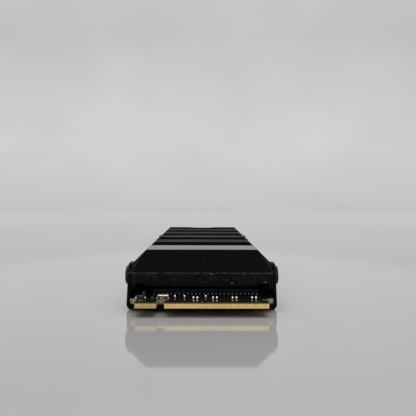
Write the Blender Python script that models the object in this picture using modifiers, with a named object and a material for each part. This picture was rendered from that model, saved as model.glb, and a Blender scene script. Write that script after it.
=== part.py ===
"""Gumstick solid state drive in a two-piece cooler.

Units are metres and +Z is up. The drive lies flat, its tray's underside at z = 0. Its edge connector
points along -Y, and y = 0 is halfway along the circuit board.
"""

import math

import bmesh
import bpy
from mathutils import Matrix

# Circuit board
BOARD_WIDTH = 0.0220
BOARD_LENGTH = 0.0800
BOARD_THICKNESS = 0.0008
SHOULDER_WIDTH = 0.001075
TONGUE_LENGTH = 0.0040
KEY_INSET = 0.0038
KEY_WIDTH = 0.0012
KEY_DEPTH = 0.0035
MOUNT_HOLE_RADIUS = 0.00175
MOUNT_RING_RADIUS = 0.00275
MOUNT_RING_MARGIN = 0.0001

# Contact fingers, counted from the +X side, the lower row half a pitch further in
FINGER_PITCH = 0.0005
FINGER_WIDTH = 0.00035
FINGER_HEIGHT = 0.000035
FINGER_SETBACK = 0.0003
FINGER_INSET = 0.000675
TOP_FINGER_LENGTH = 0.0020
BOTTOM_FINGER_LENGTH = 0.0025
FINGER_ROOT = 0.0002
KEY_TO_FINGER = 0.0004

# Tray, folded from one sheet
SHEET = 0.0005
BOARD_LIFT = 0.00075
BOARD_SIDE_CLEARANCE = 0.00031
BEND_RADIUS = 0.0008
HUG_GAP = 0.00014
EAR_MARGIN = 0.0004
EAR_RISE = 0.00095
EAR_LENGTH = 0.0045
EAR_CORNER = 0.0008
TRAY_SETBACK = 0.0050
TRAY_BOW = 0.0010
WALL_RAKE = 0.0006
REAR_SETBACK = 0.0005
REAR_NOTCH_RADIUS = 0.0034

# Heatsink
HEATSINK_INSET = 0.00005
HEATSINK_THICKNESS = 0.00518
HEATSINK_SETBACK = 0.0048
HEADROOM = 0.00211
NOSE_FACE_HEIGHT = 0.00171
NOSE_RUN = 0.0021
SIDE_CHAMFER = 0.00215
RAIL_WIDTH = 0.0007
RAIL_DROP = 0.00083
CHANNEL_DEPTH = 0.0008
FIRST_CHANNEL_LENGTH = 0.0081
LAND_LENGTH = 0.0067
LAND_PITCH = 0.0132
EDGE_BREAK = 0.00012

# Silver plate let into the top behind the nose
PLATE_LIP = 0.00015
PLATE_LENGTH = 0.0084
PLATE_THICKNESS = 0.0003
PLATE_GAP = 0.00004

# Side screws
SCREW_RISE = 0.00109
SCREW_SETBACK = 0.0079
SCREW_REAR_SETBACK = 0.0079
SCREW_HEAD_RADIUS = 0.00145
SCREW_HEAD_HEIGHT = 0.00055
SCREW_HEAD_RIM = 0.00026
SCREW_SHANK_RADIUS = 0.0007
SCREW_LENGTH = 0.0022
SCREW_CLEARANCE = 0.0001
SCREW_SEAT_GAP = 0.00002
DRIVE_SLOT_LENGTH = 0.0014
DRIVE_SLOT_WIDTH = 0.00032
DRIVE_SLOT_DEPTH = 0.00028
SCREW_STEPS = 20
HOLE_STEPS = 40

# Packages on solder balls, in a row from the front to the rear
PACKAGE_TOP = 0.00095
PACKAGE_EDGE = 0.0005
PACKAGE_SPACING = 0.0016
SOLDER_GAP = 0.00002
CONTROLLER_LEFT_MARGIN = 0.00315
CONTROLLER_RIGHT_MARGIN = 0.00185
CONTROLLER_SETBACK = 0.0075
CONTROLLER_BALL_PITCH = 0.00065
CONTROLLER_BALL_RADIUS = 0.00020
CONTROLLER_STANDOFF = 0.00030
MEMORY_BALL_RADIUS = 0.00021
MEMORY_STANDOFF = 0.00030
WORKING_MEMORY_MARGIN = 0.00245
WORKING_MEMORY_ALONG = 0.0133
WORKING_MEMORY_BALL_PITCH = 0.0008
FLASH_MARGIN = 0.00525
FLASH_REAR_SETBACK = 0.0100
FLASH_BALL_PITCH = 0.0010

# Power converter beside the working memory, and its coils
POWER_CHIP_SIZE = 0.0050
POWER_CHIP_HEIGHT = 0.00085
POWER_CHIP_EDGE = 0.0001
POWER_CHIP_MARGIN = 0.0045
POWER_CHIP_SPACING = 0.00255
POWER_CHIP_OFFSET = 0.0005
COIL_ACROSS = 0.0025
COIL_ALONG = 0.0020
COIL_HEIGHT = 0.00090
COIL_SPACING = 0.0005
COIL_ROW_SPACING = 0.0015
COIL_CORNER = 0.0003

# Clock crystal behind the key notch
CRYSTAL_ACROSS = 0.0020
CRYSTAL_ALONG = 0.0016
CRYSTAL_BASE_HEIGHT = 0.00030
CRYSTAL_LID_HEIGHT = 0.00014
CRYSTAL_LID_MARGIN = 0.00012
CRYSTAL_LID_EDGE = 0.00004
CRYSTAL_OFFSET = 0.000125
CRYSTAL_SETBACK = 0.0042
CRYSTAL_CORNER_RADIUS = 0.00018

# Chip parts: length, width, height and terminal length
CHIP_0201 = (0.00060, 0.00030, 0.00032, 0.00015)
CHIP_0402 = (0.00100, 0.00050, 0.00050, 0.00022)
CHIP_0603 = (0.00160, 0.00080, 0.00052, 0.00028)
CHIP_0805 = (0.00200, 0.00125, 0.00085, 0.00035)
TERMINAL_PROUD = 0.000015

# Pairs of coupling capacitors, one pair behind each transmit lane, spread evenly
LANES = 4
FIRST_LANE_FROM_KEY = 0.005125
LAST_LANE_INSET = 0.001925
COUPLING_PITCH = 0.0006
COUPLING_SETBACK = 0.0038

# Small parts near the front, measured from the board's left edge and from the tongue's edge
FILTER_PLACE = (0.0016, 0.0043)
RESERVE_PLACE = (0.0017, 0.0086)
STRAP_PLACES = ((0.0034, 0.0037), (0.00345, 0.0073))
SENSE_PLACES = ((0.0068, 0.0056), (0.0083, 0.0056), (0.0116, 0.0056))

# Capacitors beside the controller, counted from its front edge, and behind the last memory package
DECOUPLING_INSET = 0.0012
DECOUPLING_OFFSETS = (0.0110, 0.0145)
BULK_X = 0.0024
BULK_REAR_SETBACK = 0.0083

# Thermal pads
PAD_GAP = 0.00008
PAD_TO_RAIL = 0.00068
TOP_PAD_SETBACK = 0.0095
TOP_PAD_REAR_SETBACK = 0.0045
BOTTOM_PAD_INSET = 0.0020
BOTTOM_PAD_SETBACK = 0.0120
BOTTOM_PAD_REAR_SETBACK = 0.0060

# Colour, roughness and metallic value of each finish
FINISHES = {
    "black_anodised": ((0.010, 0.010, 0.012), 0.42, 0.6),
    "black_sheet": ((0.009, 0.009, 0.010), 0.38, 0.6),
    "silver_plate": ((0.42, 0.42, 0.43), 0.35, 1.0),
    "screw_black": ((0.014, 0.014, 0.015), 0.35, 0.8),
    "board_black": ((0.012, 0.013, 0.014), 0.35, 0.0),
    "package_black": ((0.016, 0.016, 0.018), 0.55, 0.0),
    "coil_grey": ((0.060, 0.060, 0.062), 0.60, 0.0),
    "ceramic": ((0.115, 0.095, 0.080), 0.55, 0.0),
    "chip_part": ((0.105, 0.085, 0.070), 0.50, 0.0),
    "gold": ((0.80, 0.58, 0.26), 0.30, 1.0),
    "pad_grey": ((0.090, 0.092, 0.098), 0.85, 0.0),
}

# Places worked out from the sizes above
FRONT_Y = -BOARD_LENGTH / 2
REAR_Y = BOARD_LENGTH / 2
BOARD_HALF = BOARD_WIDTH / 2
TONGUE_HALF = BOARD_HALF - SHOULDER_WIDTH
KEY_X = -TONGUE_HALF + KEY_INSET
FIRST_FINGER_X = TONGUE_HALF - FINGER_INSET
BOARD_BASE = SHEET + BOARD_LIFT
BOARD_TOP = BOARD_BASE + BOARD_THICKNESS
HEATSINK_BASE = BOARD_TOP + HEADROOM
HEATSINK_TOP = HEATSINK_BASE + HEATSINK_THICKNESS
HEATSINK_HALF = BOARD_HALF - HEATSINK_INSET
TOP_HALF = HEATSINK_HALF - SIDE_CHAMFER
COOLER_REAR = REAR_Y - REAR_SETBACK
SCREW_Z = HEATSINK_BASE + SCREW_RISE
EAR_TOP = SCREW_Z + SCREW_HEAD_RADIUS + EAR_MARGIN
WALL_TOP = EAR_TOP - EAR_RISE
TRAY_FRONT = FRONT_Y + TRAY_SETBACK
TRAY_FOOT_HALF = BOARD_HALF + BOARD_SIDE_CLEARANCE + SHEET
TRAY_TOP_HALF = HEATSINK_HALF + HUG_GAP + SHEET
WALL_LEAN = math.atan((TRAY_FOOT_HALF - TRAY_TOP_HALF) / (EAR_TOP - BEND_RADIUS))
PLATE_FRONT = FRONT_Y + HEATSINK_SETBACK + NOSE_RUN + PLATE_LIP
PLATE_REAR = PLATE_FRONT + PLATE_LENGTH
CHANNEL_FLOOR = HEATSINK_TOP - CHANNEL_DEPTH
CONTROLLER_SIZE = BOARD_WIDTH - CONTROLLER_LEFT_MARGIN - CONTROLLER_RIGHT_MARGIN
CONTROLLER_X = (CONTROLLER_LEFT_MARGIN - CONTROLLER_RIGHT_MARGIN) / 2
POWER_CHIP_X = BOARD_HALF - POWER_CHIP_MARGIN - POWER_CHIP_SIZE / 2
WORKING_MEMORY_RIGHT = POWER_CHIP_X - POWER_CHIP_SIZE / 2 - POWER_CHIP_SPACING
WORKING_MEMORY_ACROSS = WORKING_MEMORY_RIGHT + BOARD_HALF - WORKING_MEMORY_MARGIN
WORKING_MEMORY_X = WORKING_MEMORY_RIGHT - WORKING_MEMORY_ACROSS / 2
FLASH_ACROSS = BOARD_WIDTH - 2 * FLASH_MARGIN
WORKING_MEMORY_SETBACK = CONTROLLER_SETBACK + CONTROLLER_SIZE + PACKAGE_SPACING
FLASH_SETBACK = WORKING_MEMORY_SETBACK + WORKING_MEMORY_ALONG + PACKAGE_SPACING
FLASH_ALONG = (BOARD_LENGTH - FLASH_REAR_SETBACK - FLASH_SETBACK - PACKAGE_SPACING) / 2
POWER_CHIP_SETBACK = WORKING_MEMORY_SETBACK + POWER_CHIP_OFFSET
COIL_SETBACK = POWER_CHIP_SETBACK + POWER_CHIP_SIZE + COIL_ROW_SPACING

# How far cutters reach past what they cut, and how sketches are drawn
CUTTER_MARGIN = 0.002
SKETCH_SCALE = 1000
SKETCH_WELD = 0.001

# Frames of flat outlines: plan, side view (Y, Z) and front view (X, Z)
PLAN = Matrix.Identity(4)
SIDE_VIEW = Matrix(((0, 0, 1, 0), (1, 0, 0, 0), (0, 1, 0, 0), (0, 0, 0, 1)))
FRONT_VIEW = Matrix(((1, 0, 0, 0), (0, 0, -1, 0), (0, 1, 0, 0), (0, 0, 0, 1)))


def clear_scene():
    for obj in list(bpy.data.objects):
        bpy.data.objects.remove(obj, do_unlink=True)


def new_collection(name):
    collection = bpy.data.collections.new(name)
    bpy.context.scene.collection.children.link(collection)
    return collection


def make_materials():
    made = {}
    for name, (colour, roughness, metallic) in FINISHES.items():
        material = bpy.data.materials.new(name)
        material.use_nodes = True
        shader = material.node_tree.nodes["Principled BSDF"]
        shader.inputs["Base Color"].default_value = (*colour, 1.0)
        shader.inputs["Roughness"].default_value = roughness
        shader.inputs["Metallic"].default_value = metallic
        made[name] = material
    return made


def arc(centre, radius, start, end, steps):
    """Points of an arc, its angles in degrees."""
    points = []
    for step in range(steps + 1):
        angle = math.radians(start + (end - start) * step / steps)
        points.append((centre[0] + radius * math.cos(angle), centre[1] + radius * math.sin(angle)))
    return points


def place(obj, collection, material=None):
    collection.objects.link(obj)
    if material:
        obj.data.materials.clear()
        obj.data.materials.append(material)
    return obj


def as_cutter(obj):
    obj.hide_render = True
    obj.display_type = "WIRE"
    return obj


def evaluated_copy(obj, name, weld=1e-7):
    """A mesh of the object as its curve or modifiers make it, with its caps welded."""
    bpy.context.view_layer.update()
    graph = bpy.context.evaluated_depsgraph_get()
    mesh = bpy.data.meshes.new_from_object(obj.evaluated_get(graph))
    mesh.name = name
    shape = bmesh.new()
    shape.from_mesh(mesh)
    bmesh.ops.remove_doubles(shape, verts=shape.verts, dist=weld)
    shape.to_mesh(mesh)
    shape.free()
    return mesh


def flat_solid(name, outline, thickness, frame, collection, material=None):
    """A closed outline filled as a 2D curve, half its thickness to each side of the frame's plane.

    The curve is drawn in millimetres, because a curve's fill drops points that lie close together.
    """
    curve = bpy.data.curves.new(name, "CURVE")
    curve.dimensions = "2D"
    curve.fill_mode = "BOTH"
    curve.extrude = thickness / 2 * SKETCH_SCALE
    spline = curve.splines.new("POLY")
    spline.points.add(len(outline) - 1)
    for point, (x, y) in zip(spline.points, outline):
        point.co = (x * SKETCH_SCALE, y * SKETCH_SCALE, 0.0, 1.0)
    spline.use_cyclic_u = True
    guide = bpy.data.objects.new(name + "_curve", curve)
    bpy.context.scene.collection.objects.link(guide)
    mesh = evaluated_copy(guide, name, SKETCH_WELD)
    mesh.transform(Matrix.Scale(1 / SKETCH_SCALE, 4))
    solid = bpy.data.objects.new(name, mesh)
    solid.matrix_world = frame
    bpy.data.objects.remove(guide, do_unlink=True)
    return place(solid, collection, material)


def mesh_object(name, shape, collection, material=None):
    mesh = bpy.data.meshes.new(name)
    shape.to_mesh(mesh)
    shape.free()
    return place(bpy.data.objects.new(name, mesh), collection, material)


def add_box(shape, size, centre):
    matrix = Matrix.Translation(centre) @ Matrix.Diagonal((*size, 1.0))
    return bmesh.ops.create_cube(shape, size=1.0, matrix=matrix)["verts"]


def box_object(name, size, centre, collection, material=None):
    shape = bmesh.new()
    add_box(shape, size, centre)
    return mesh_object(name, shape, collection, material)


def boolean(obj, other, operation="DIFFERENCE"):
    modifier = obj.modifiers.new(operation.lower() + "_" + other.name, "BOOLEAN")
    modifier.operation = operation
    modifier.object = other
    modifier.solver = "EXACT"


def bevel(obj, width, segments=1, angle=30.0):
    modifier = obj.modifiers.new("edges", "BEVEL")
    modifier.width = width
    modifier.segments = segments
    modifier.limit_method = "ANGLE"
    modifier.angle_limit = math.radians(angle)


def settle(obj):
    """Applies the object's modifiers, so that copies can share the mesh."""
    mesh = evaluated_copy(obj, obj.name)
    obj.modifiers.clear()
    obj.data = mesh
    return obj


def key_outline():
    """Plan of the key notch, round at its inner end and open past the tongue's edge."""
    radius = KEY_WIDTH / 2
    mouth = FRONT_Y - CUTTER_MARGIN
    outline = arc((KEY_X, FRONT_Y + KEY_DEPTH - radius), radius, 0, 180, 8)
    outline += [(KEY_X - radius, mouth), (KEY_X + radius, mouth)]
    return outline


def rout_cutter(cutters):
    """What is routed off beside the tongue, and the drilled half hole at the rear."""
    shape = bmesh.new()
    middle_z = BOARD_BASE + BOARD_THICKNESS / 2
    across = SHOULDER_WIDTH + CUTTER_MARGIN
    along = TONGUE_LENGTH + CUTTER_MARGIN
    centre_y = FRONT_Y + (TONGUE_LENGTH - CUTTER_MARGIN) / 2
    for side in (-1, 1):
        centre = (side * (TONGUE_HALF + across / 2), centre_y, middle_z)
        add_box(shape, (across, along, BOARD_THICKNESS + CUTTER_MARGIN), centre)
    bmesh.ops.create_cone(
        shape,
        cap_ends=True,
        segments=HOLE_STEPS,
        radius1=MOUNT_HOLE_RADIUS,
        radius2=MOUNT_HOLE_RADIUS,
        depth=BOARD_THICKNESS + CUTTER_MARGIN,
        matrix=Matrix.Translation((0, REAR_Y, middle_z)),
    )
    return as_cutter(mesh_object("board_routing", shape, cutters))


def finger_places():
    """Centre x, length and board side of every contact finger, leaving out those at the key."""
    places = []
    for side, start, length in (
        (1, FIRST_FINGER_X, TOP_FINGER_LENGTH),
        (-1, FIRST_FINGER_X - FINGER_PITCH / 2, BOTTOM_FINGER_LENGTH),
    ):
        count = int((start + TONGUE_HALF - FINGER_INSET) / FINGER_PITCH + 0.5)
        for number in range(count + 1):
            x = start - number * FINGER_PITCH
            if x < -FIRST_FINGER_X - FINGER_PITCH / 4:
                continue
            if abs(x - KEY_X) > KEY_WIDTH / 2 + KEY_TO_FINGER:
                places.append((x, length, side))
    return places


def mount_ring_outline():
    """Half ring of bare copper round the rear half hole, a little inside the board's edges."""
    inner = MOUNT_HOLE_RADIUS + MOUNT_RING_MARGIN
    inner_tilt = math.degrees(math.asin(MOUNT_RING_MARGIN / inner))
    outer_tilt = math.degrees(math.asin(MOUNT_RING_MARGIN / MOUNT_RING_RADIUS))
    outline = arc((0.0, REAR_Y), inner, 360 - inner_tilt, 180 + inner_tilt, HOLE_STEPS // 2)
    outline += arc((0.0, REAR_Y), MOUNT_RING_RADIUS, 180 + outer_tilt, 360 - outer_tilt, HOLE_STEPS // 2)
    return outline


def make_board(parts, cutters, material):
    middle_z = BOARD_BASE + BOARD_THICKNESS / 2
    middle = Matrix.Translation((0, 0, middle_z))
    size = (BOARD_WIDTH, BOARD_LENGTH, BOARD_THICKNESS)
    board = box_object("circuit_board", size, (0, 0, middle_z), parts, material)
    boolean(board, rout_cutter(cutters))
    key = flat_solid("key_notch", key_outline(), BOARD_THICKNESS + CUTTER_MARGIN, middle, cutters)
    boolean(board, as_cutter(key))
    fingers = bmesh.new()
    for x, length, side in finger_places():
        face = BOARD_TOP if side > 0 else BOARD_BASE
        centre_z = face + side * (FINGER_HEIGHT - FINGER_ROOT) / 2
        centre_y = FRONT_Y + FINGER_SETBACK + length / 2
        add_box(fingers, (FINGER_WIDTH, length, FINGER_HEIGHT + FINGER_ROOT), (x, centre_y, centre_z))
    boolean(board, as_cutter(mesh_object("contact_fingers", fingers, cutters)), "UNION")
    ring_height = BOARD_THICKNESS + 2 * FINGER_HEIGHT
    ring = flat_solid("mount_ring", mount_ring_outline(), ring_height, middle, cutters)
    boolean(board, as_cutter(ring), "UNION")
    return board


def tray_section():
    """Outer line of the folded sheet, from the left ear's top round under the board to the right one's."""
    right = arc((TRAY_FOOT_HALF - BEND_RADIUS, BEND_RADIUS), BEND_RADIUS, -90, 0, 5)
    right.append((TRAY_TOP_HALF, EAR_TOP))
    left = [(-x, z) for x, z in reversed(right)]
    return left + right


def ear_outline_cut():
    """Side view of what is trimmed off the walls' tops between the front and rear ears."""
    front = TRAY_FRONT + TRAY_BOW + EAR_LENGTH
    rear = COOLER_REAR - EAR_LENGTH
    over = EAR_TOP + CUTTER_MARGIN
    outline = [(front, over)]
    outline += arc((front + EAR_CORNER, WALL_TOP + EAR_CORNER), EAR_CORNER, 180, 270, 4)
    outline += arc((rear - EAR_CORNER, WALL_TOP + EAR_CORNER), EAR_CORNER, 270, 360, 4)
    outline.append((rear, over))
    return outline


def wall_rake_cut():
    """Side view of what the walls' slanting front edges leave off. It passes over the floor's bow."""
    foot = TRAY_FRONT + TRAY_BOW
    over = EAR_TOP + CUTTER_MARGIN
    low = BEND_RADIUS + SHEET
    slope = WALL_RAKE / (EAR_TOP - low)
    front = TRAY_FRONT - CUTTER_MARGIN
    corner_start = EAR_TOP - EAR_CORNER
    edge = foot + slope * (corner_start - low)
    outline = [(front, low), (foot, low)]
    outline += arc((edge + EAR_CORNER, corner_start), EAR_CORNER, 180, 90, 4)
    outline += [(edge + EAR_CORNER, over), (front, over)]
    return outline


def tray_bow_cut():
    """Plan of what the floor's gently bowed front edge leaves off."""
    half = TRAY_FOOT_HALF + CUTTER_MARGIN
    radius = (TRAY_FOOT_HALF ** 2 + TRAY_BOW ** 2) / (2 * TRAY_BOW)
    spread = math.degrees(math.asin(half / radius))
    outline = arc((0.0, TRAY_FRONT + radius), radius, 270 - spread, 270 + spread, 16)
    front = TRAY_FRONT - CUTTER_MARGIN
    outline += [(half, front), (-half, front)]
    return outline


def rear_notch(name, cutters):
    """A round cutter for the clearance of the screw head that holds the drive's rear end."""
    outline = arc((0.0, REAR_Y), REAR_NOTCH_RADIUS, 0, 360, HOLE_STEPS)[:-1]
    height = HEATSINK_TOP + 2 * CUTTER_MARGIN
    frame = Matrix.Translation((0, 0, HEATSINK_TOP / 2))
    return as_cutter(flat_solid(name, outline, height, frame, cutters))


def screw_frames():
    """Frames whose origin is on the wall's outer face and whose Z is the wall's outward normal."""
    drop = (SCREW_Z - BEND_RADIUS) * math.tan(WALL_LEAN)
    seat = Matrix.Translation((TRAY_FOOT_HALF - drop, 0, SCREW_Z))
    seat = seat @ Matrix.Rotation(math.pi / 2 - WALL_LEAN, 4, "Y")
    frames = {}
    for end, y in (("front", FRONT_Y + SCREW_SETBACK), ("rear", REAR_Y - SCREW_REAR_SETBACK)):
        for side, turn in (("right", 0.0), ("left", math.pi)):
            turned = Matrix.Rotation(turn, 4, "Z") @ seat
            frames[f"{end}_{side}"] = Matrix.Translation((0, y, 0)) @ turned
    return frames


def screw_hole_cutter(cutters):
    """All four screw holes in one cutter, long enough to pass the wall and end inside the heatsink."""
    shape = bmesh.new()
    depth = SCREW_LENGTH + SCREW_CLEARANCE
    for frame in screw_frames().values():
        middle = Matrix.Translation((0, 0, (SCREW_HEAD_RADIUS - depth) / 2))
        bmesh.ops.create_cone(
            shape,
            cap_ends=True,
            segments=SCREW_STEPS,
            radius1=SCREW_SHANK_RADIUS + SCREW_CLEARANCE,
            radius2=SCREW_SHANK_RADIUS + SCREW_CLEARANCE,
            depth=depth + SCREW_HEAD_RADIUS,
            matrix=frame @ middle,
        )
    return as_cutter(mesh_object("screw_holes", shape, cutters))


def make_tray(parts, cutters, holes, material):
    shape = bmesh.new()
    start = TRAY_FRONT - CUTTER_MARGIN / 2
    line = [shape.verts.new((x, start, z)) for x, z in tray_section()]
    edges = [shape.edges.new(pair) for pair in zip(line, line[1:])]
    swept = bmesh.ops.extrude_edge_only(shape, edges=edges)["geom"]
    moved = [item for item in swept if isinstance(item, bmesh.types.BMVert)]
    bmesh.ops.translate(shape, verts=moved, vec=(0, COOLER_REAR - start, 0))
    bmesh.ops.recalc_face_normals(shape, faces=shape.faces)
    shape.faces.ensure_lookup_table()
    floor = min(shape.faces, key=lambda face: face.calc_center_median().z)
    if floor.normal.z > 0:
        bmesh.ops.reverse_faces(shape, faces=shape.faces)
    tray = mesh_object("base_tray", shape, parts, material)
    shell = tray.modifiers.new("sheet", "SOLIDIFY")
    shell.thickness = SHEET
    shell.offset = -1.0
    shell.use_even_offset = True
    across = 2 * (TRAY_FOOT_HALF + CUTTER_MARGIN)
    trims = [
        flat_solid("wall_trim", ear_outline_cut(), across, SIDE_VIEW, cutters),
        flat_solid("wall_rake", wall_rake_cut(), across, SIDE_VIEW, cutters),
        flat_solid("floor_bow", tray_bow_cut(), 4 * EAR_TOP, PLAN, cutters),
    ]
    for trim in trims:
        boolean(tray, as_cutter(trim))
    boolean(tray, rear_notch("tray_notch", cutters))
    boolean(tray, holes)
    return tray


def heatsink_profile():
    """Side view: raked nose, shelf for the plate, then lands and channels to the rear."""
    front = FRONT_Y + HEATSINK_SETBACK
    low = HEATSINK_BASE - RAIL_DROP - CUTTER_MARGIN
    shelf = HEATSINK_TOP - PLATE_THICKNESS - PLATE_GAP
    shelf_end = PLATE_REAR + PLATE_GAP
    plate_start = PLATE_FRONT - PLATE_GAP
    outline = [(COOLER_REAR, low), (front, low), (front, HEATSINK_BASE + NOSE_FACE_HEIGHT)]
    outline += [(front + NOSE_RUN, HEATSINK_TOP), (plate_start, HEATSINK_TOP), (plate_start, shelf)]
    outline += [(shelf_end, shelf), (shelf_end, CHANNEL_FLOOR)]
    land = PLATE_REAR + FIRST_CHANNEL_LENGTH
    while land + LAND_LENGTH < COOLER_REAR:
        outline += [(land, CHANNEL_FLOOR), (land, HEATSINK_TOP)]
        outline += [(land + LAND_LENGTH, HEATSINK_TOP), (land + LAND_LENGTH, CHANNEL_FLOOR)]
        land += LAND_PITCH
    if land < COOLER_REAR:
        outline += [(land, CHANNEL_FLOOR), (land, HEATSINK_TOP), (COOLER_REAR, HEATSINK_TOP)]
    else:
        outline.append((COOLER_REAR, CHANNEL_FLOOR))
    return outline


def heatsink_section():
    """Front view: chamfered top, flat underside and a rail along each side."""
    rail = HEATSINK_HALF - RAIL_WIDTH
    rail_base = HEATSINK_BASE - RAIL_DROP
    right = [(rail, HEATSINK_BASE), (rail, rail_base), (HEATSINK_HALF, rail_base)]
    right += [(HEATSINK_HALF, HEATSINK_TOP - SIDE_CHAMFER), (TOP_HALF, HEATSINK_TOP)]
    over = HEATSINK_TOP + CUTTER_MARGIN
    right.append((TOP_HALF - CUTTER_MARGIN, over))
    left = [(-x, z) for x, z in reversed(right)]
    return right + left


def make_heatsink(parts, cutters, holes, material):
    width = 2 * HEATSINK_HALF + CUTTER_MARGIN
    heatsink = flat_solid("heatsink", heatsink_profile(), width, SIDE_VIEW, parts, material)
    section = flat_solid(
        "heatsink_section", heatsink_section(), BOARD_LENGTH + CUTTER_MARGIN, FRONT_VIEW, cutters
    )
    boolean(heatsink, as_cutter(section), "INTERSECT")
    bevel(heatsink, EDGE_BREAK)
    boolean(heatsink, rear_notch("heatsink_notch", cutters))
    boolean(heatsink, holes)
    return heatsink


def make_plate(parts, material):
    centre_y = (PLATE_FRONT + PLATE_REAR) / 2
    centre_z = HEATSINK_TOP - PLATE_THICKNESS / 2
    top = TOP_HALF - EDGE_BREAK
    foot = top + PLATE_THICKNESS
    rise = PLATE_THICKNESS / 2
    section = [(-foot, -rise), (foot, -rise), (top, rise), (-top, rise)]
    frame = Matrix.Translation((0, centre_y, centre_z)) @ FRONT_VIEW
    return flat_solid("accent_plate", section, PLATE_LENGTH, frame, parts, material)


def make_screws(parts, cutters, material):
    """One turned pan head with a cross slot, set four times."""
    shape = bmesh.new()
    dome = (SCREW_HEAD_HEIGHT - SCREW_HEAD_RIM) / SCREW_HEAD_RADIUS
    profile = [(x, SCREW_HEAD_RIM + dome * z) for x, z in arc((0.0, 0.0), SCREW_HEAD_RADIUS, 90, 0, 4)]
    profile[0] = (0.0, SCREW_HEAD_HEIGHT)
    profile += [(SCREW_HEAD_RADIUS, SCREW_SEAT_GAP), (SCREW_SHANK_RADIUS, SCREW_SEAT_GAP)]
    profile += [(SCREW_SHANK_RADIUS, -SCREW_LENGTH), (0.0, -SCREW_LENGTH)]
    line = [shape.verts.new((x, 0, z)) for x, z in profile]
    for pair in zip(line, line[1:]):
        shape.edges.new(pair)
    first = mesh_object("side_screw_front_right", shape, parts, material)
    turn = first.modifiers.new("turned", "SCREW")
    turn.steps = SCREW_STEPS
    turn.render_steps = SCREW_STEPS
    turn.use_merge_vertices = True
    turn.merge_threshold = 1e-7
    slots = bmesh.new()
    height = 2 * DRIVE_SLOT_DEPTH
    for size in (
        (DRIVE_SLOT_LENGTH, DRIVE_SLOT_WIDTH, height),
        (DRIVE_SLOT_WIDTH, DRIVE_SLOT_LENGTH, height),
    ):
        add_box(slots, size, (0, 0, SCREW_HEAD_HEIGHT))
    cross = as_cutter(mesh_object("drive_slots", slots, cutters))
    boolean(first, cross)
    first.modifiers[-1].use_self = True
    settle(first)
    first.data.shade_smooth()
    first.data.set_sharp_from_angle(angle=math.radians(30))
    for name, frame in screw_frames().items():
        screw = first
        if name != "front_right":
            screw = place(bpy.data.objects.new("side_screw_" + name, first.data), parts)
        screw.matrix_world = frame


def packages():
    """Name, size, centre x, front setback, and the balls' pitch, radius and standoff."""
    fine = (CONTROLLER_BALL_PITCH, CONTROLLER_BALL_RADIUS, CONTROLLER_STANDOFF)
    size = (CONTROLLER_SIZE, CONTROLLER_SIZE)
    listed = [("controller", size, CONTROLLER_X, CONTROLLER_SETBACK, fine)]
    coarse = (WORKING_MEMORY_BALL_PITCH, MEMORY_BALL_RADIUS, MEMORY_STANDOFF)
    size = (WORKING_MEMORY_ACROSS, WORKING_MEMORY_ALONG)
    listed.append(("working_memory", size, WORKING_MEMORY_X, WORKING_MEMORY_SETBACK, coarse))
    wide = (FLASH_BALL_PITCH, MEMORY_BALL_RADIUS, MEMORY_STANDOFF)
    size = (FLASH_ACROSS, FLASH_ALONG)
    for number in (1, 2):
        setback = FLASH_SETBACK + (number - 1) * (FLASH_ALONG + PACKAGE_SPACING)
        listed.append((f"flash_memory_{number}", size, 0.0, setback, wide))
    return listed


def make_package(name, size, centre_x, setback, ball, parts, cutters, material):
    """A moulded package on the outermost ring of its solder balls."""
    across, along = size
    pitch, radius, standoff = ball
    centre_y = FRONT_Y + setback + along / 2
    base = BOARD_TOP + standoff
    height = PACKAGE_TOP - standoff
    centre = (centre_x, centre_y, base + height / 2)
    package = box_object(name, (across, along, height), centre, parts, material)
    columns = int((across - 2 * PACKAGE_EDGE) / pitch + 0.5)
    rows = int((along - 2 * PACKAGE_EDGE) / pitch + 0.5)
    balls = bmesh.new()
    centre_z = BOARD_TOP + SOLDER_GAP + radius
    for column in range(columns + 1):
        for row in range(rows + 1):
            if column not in (0, columns) and row not in (0, rows):
                continue
            x = centre_x + (column - columns / 2) * pitch
            y = centre_y + (row - rows / 2) * pitch
            spot = Matrix.Translation((x, y, centre_z))
            bmesh.ops.create_icosphere(balls, subdivisions=1, radius=radius, matrix=spot)
    boolean(package, as_cutter(mesh_object(name + "_balls", balls, cutters)), "UNION")
    return package


def make_power_parts(parts, package, coil):
    chip_y = FRONT_Y + POWER_CHIP_SETBACK + POWER_CHIP_SIZE / 2
    chip_z = BOARD_TOP + SOLDER_GAP + POWER_CHIP_HEIGHT / 2
    size = (POWER_CHIP_SIZE, POWER_CHIP_SIZE, POWER_CHIP_HEIGHT)
    chip = box_object("power_converter", size, (POWER_CHIP_X, chip_y, chip_z), parts, package)
    bevel(chip, POWER_CHIP_EDGE)
    for number in (1, 2):
        x = POWER_CHIP_X + (number - 1.5) * (COIL_ACROSS + COIL_SPACING)
        y = FRONT_Y + COIL_SETBACK + COIL_ALONG / 2
        centre = (x, y, BOARD_TOP + SOLDER_GAP + COIL_HEIGHT / 2)
        body = box_object(f"inductor_{number}", (COIL_ACROSS, COIL_ALONG, COIL_HEIGHT), centre, parts, coil)
        bevel(body, COIL_CORNER, 2, 80.0)


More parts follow.
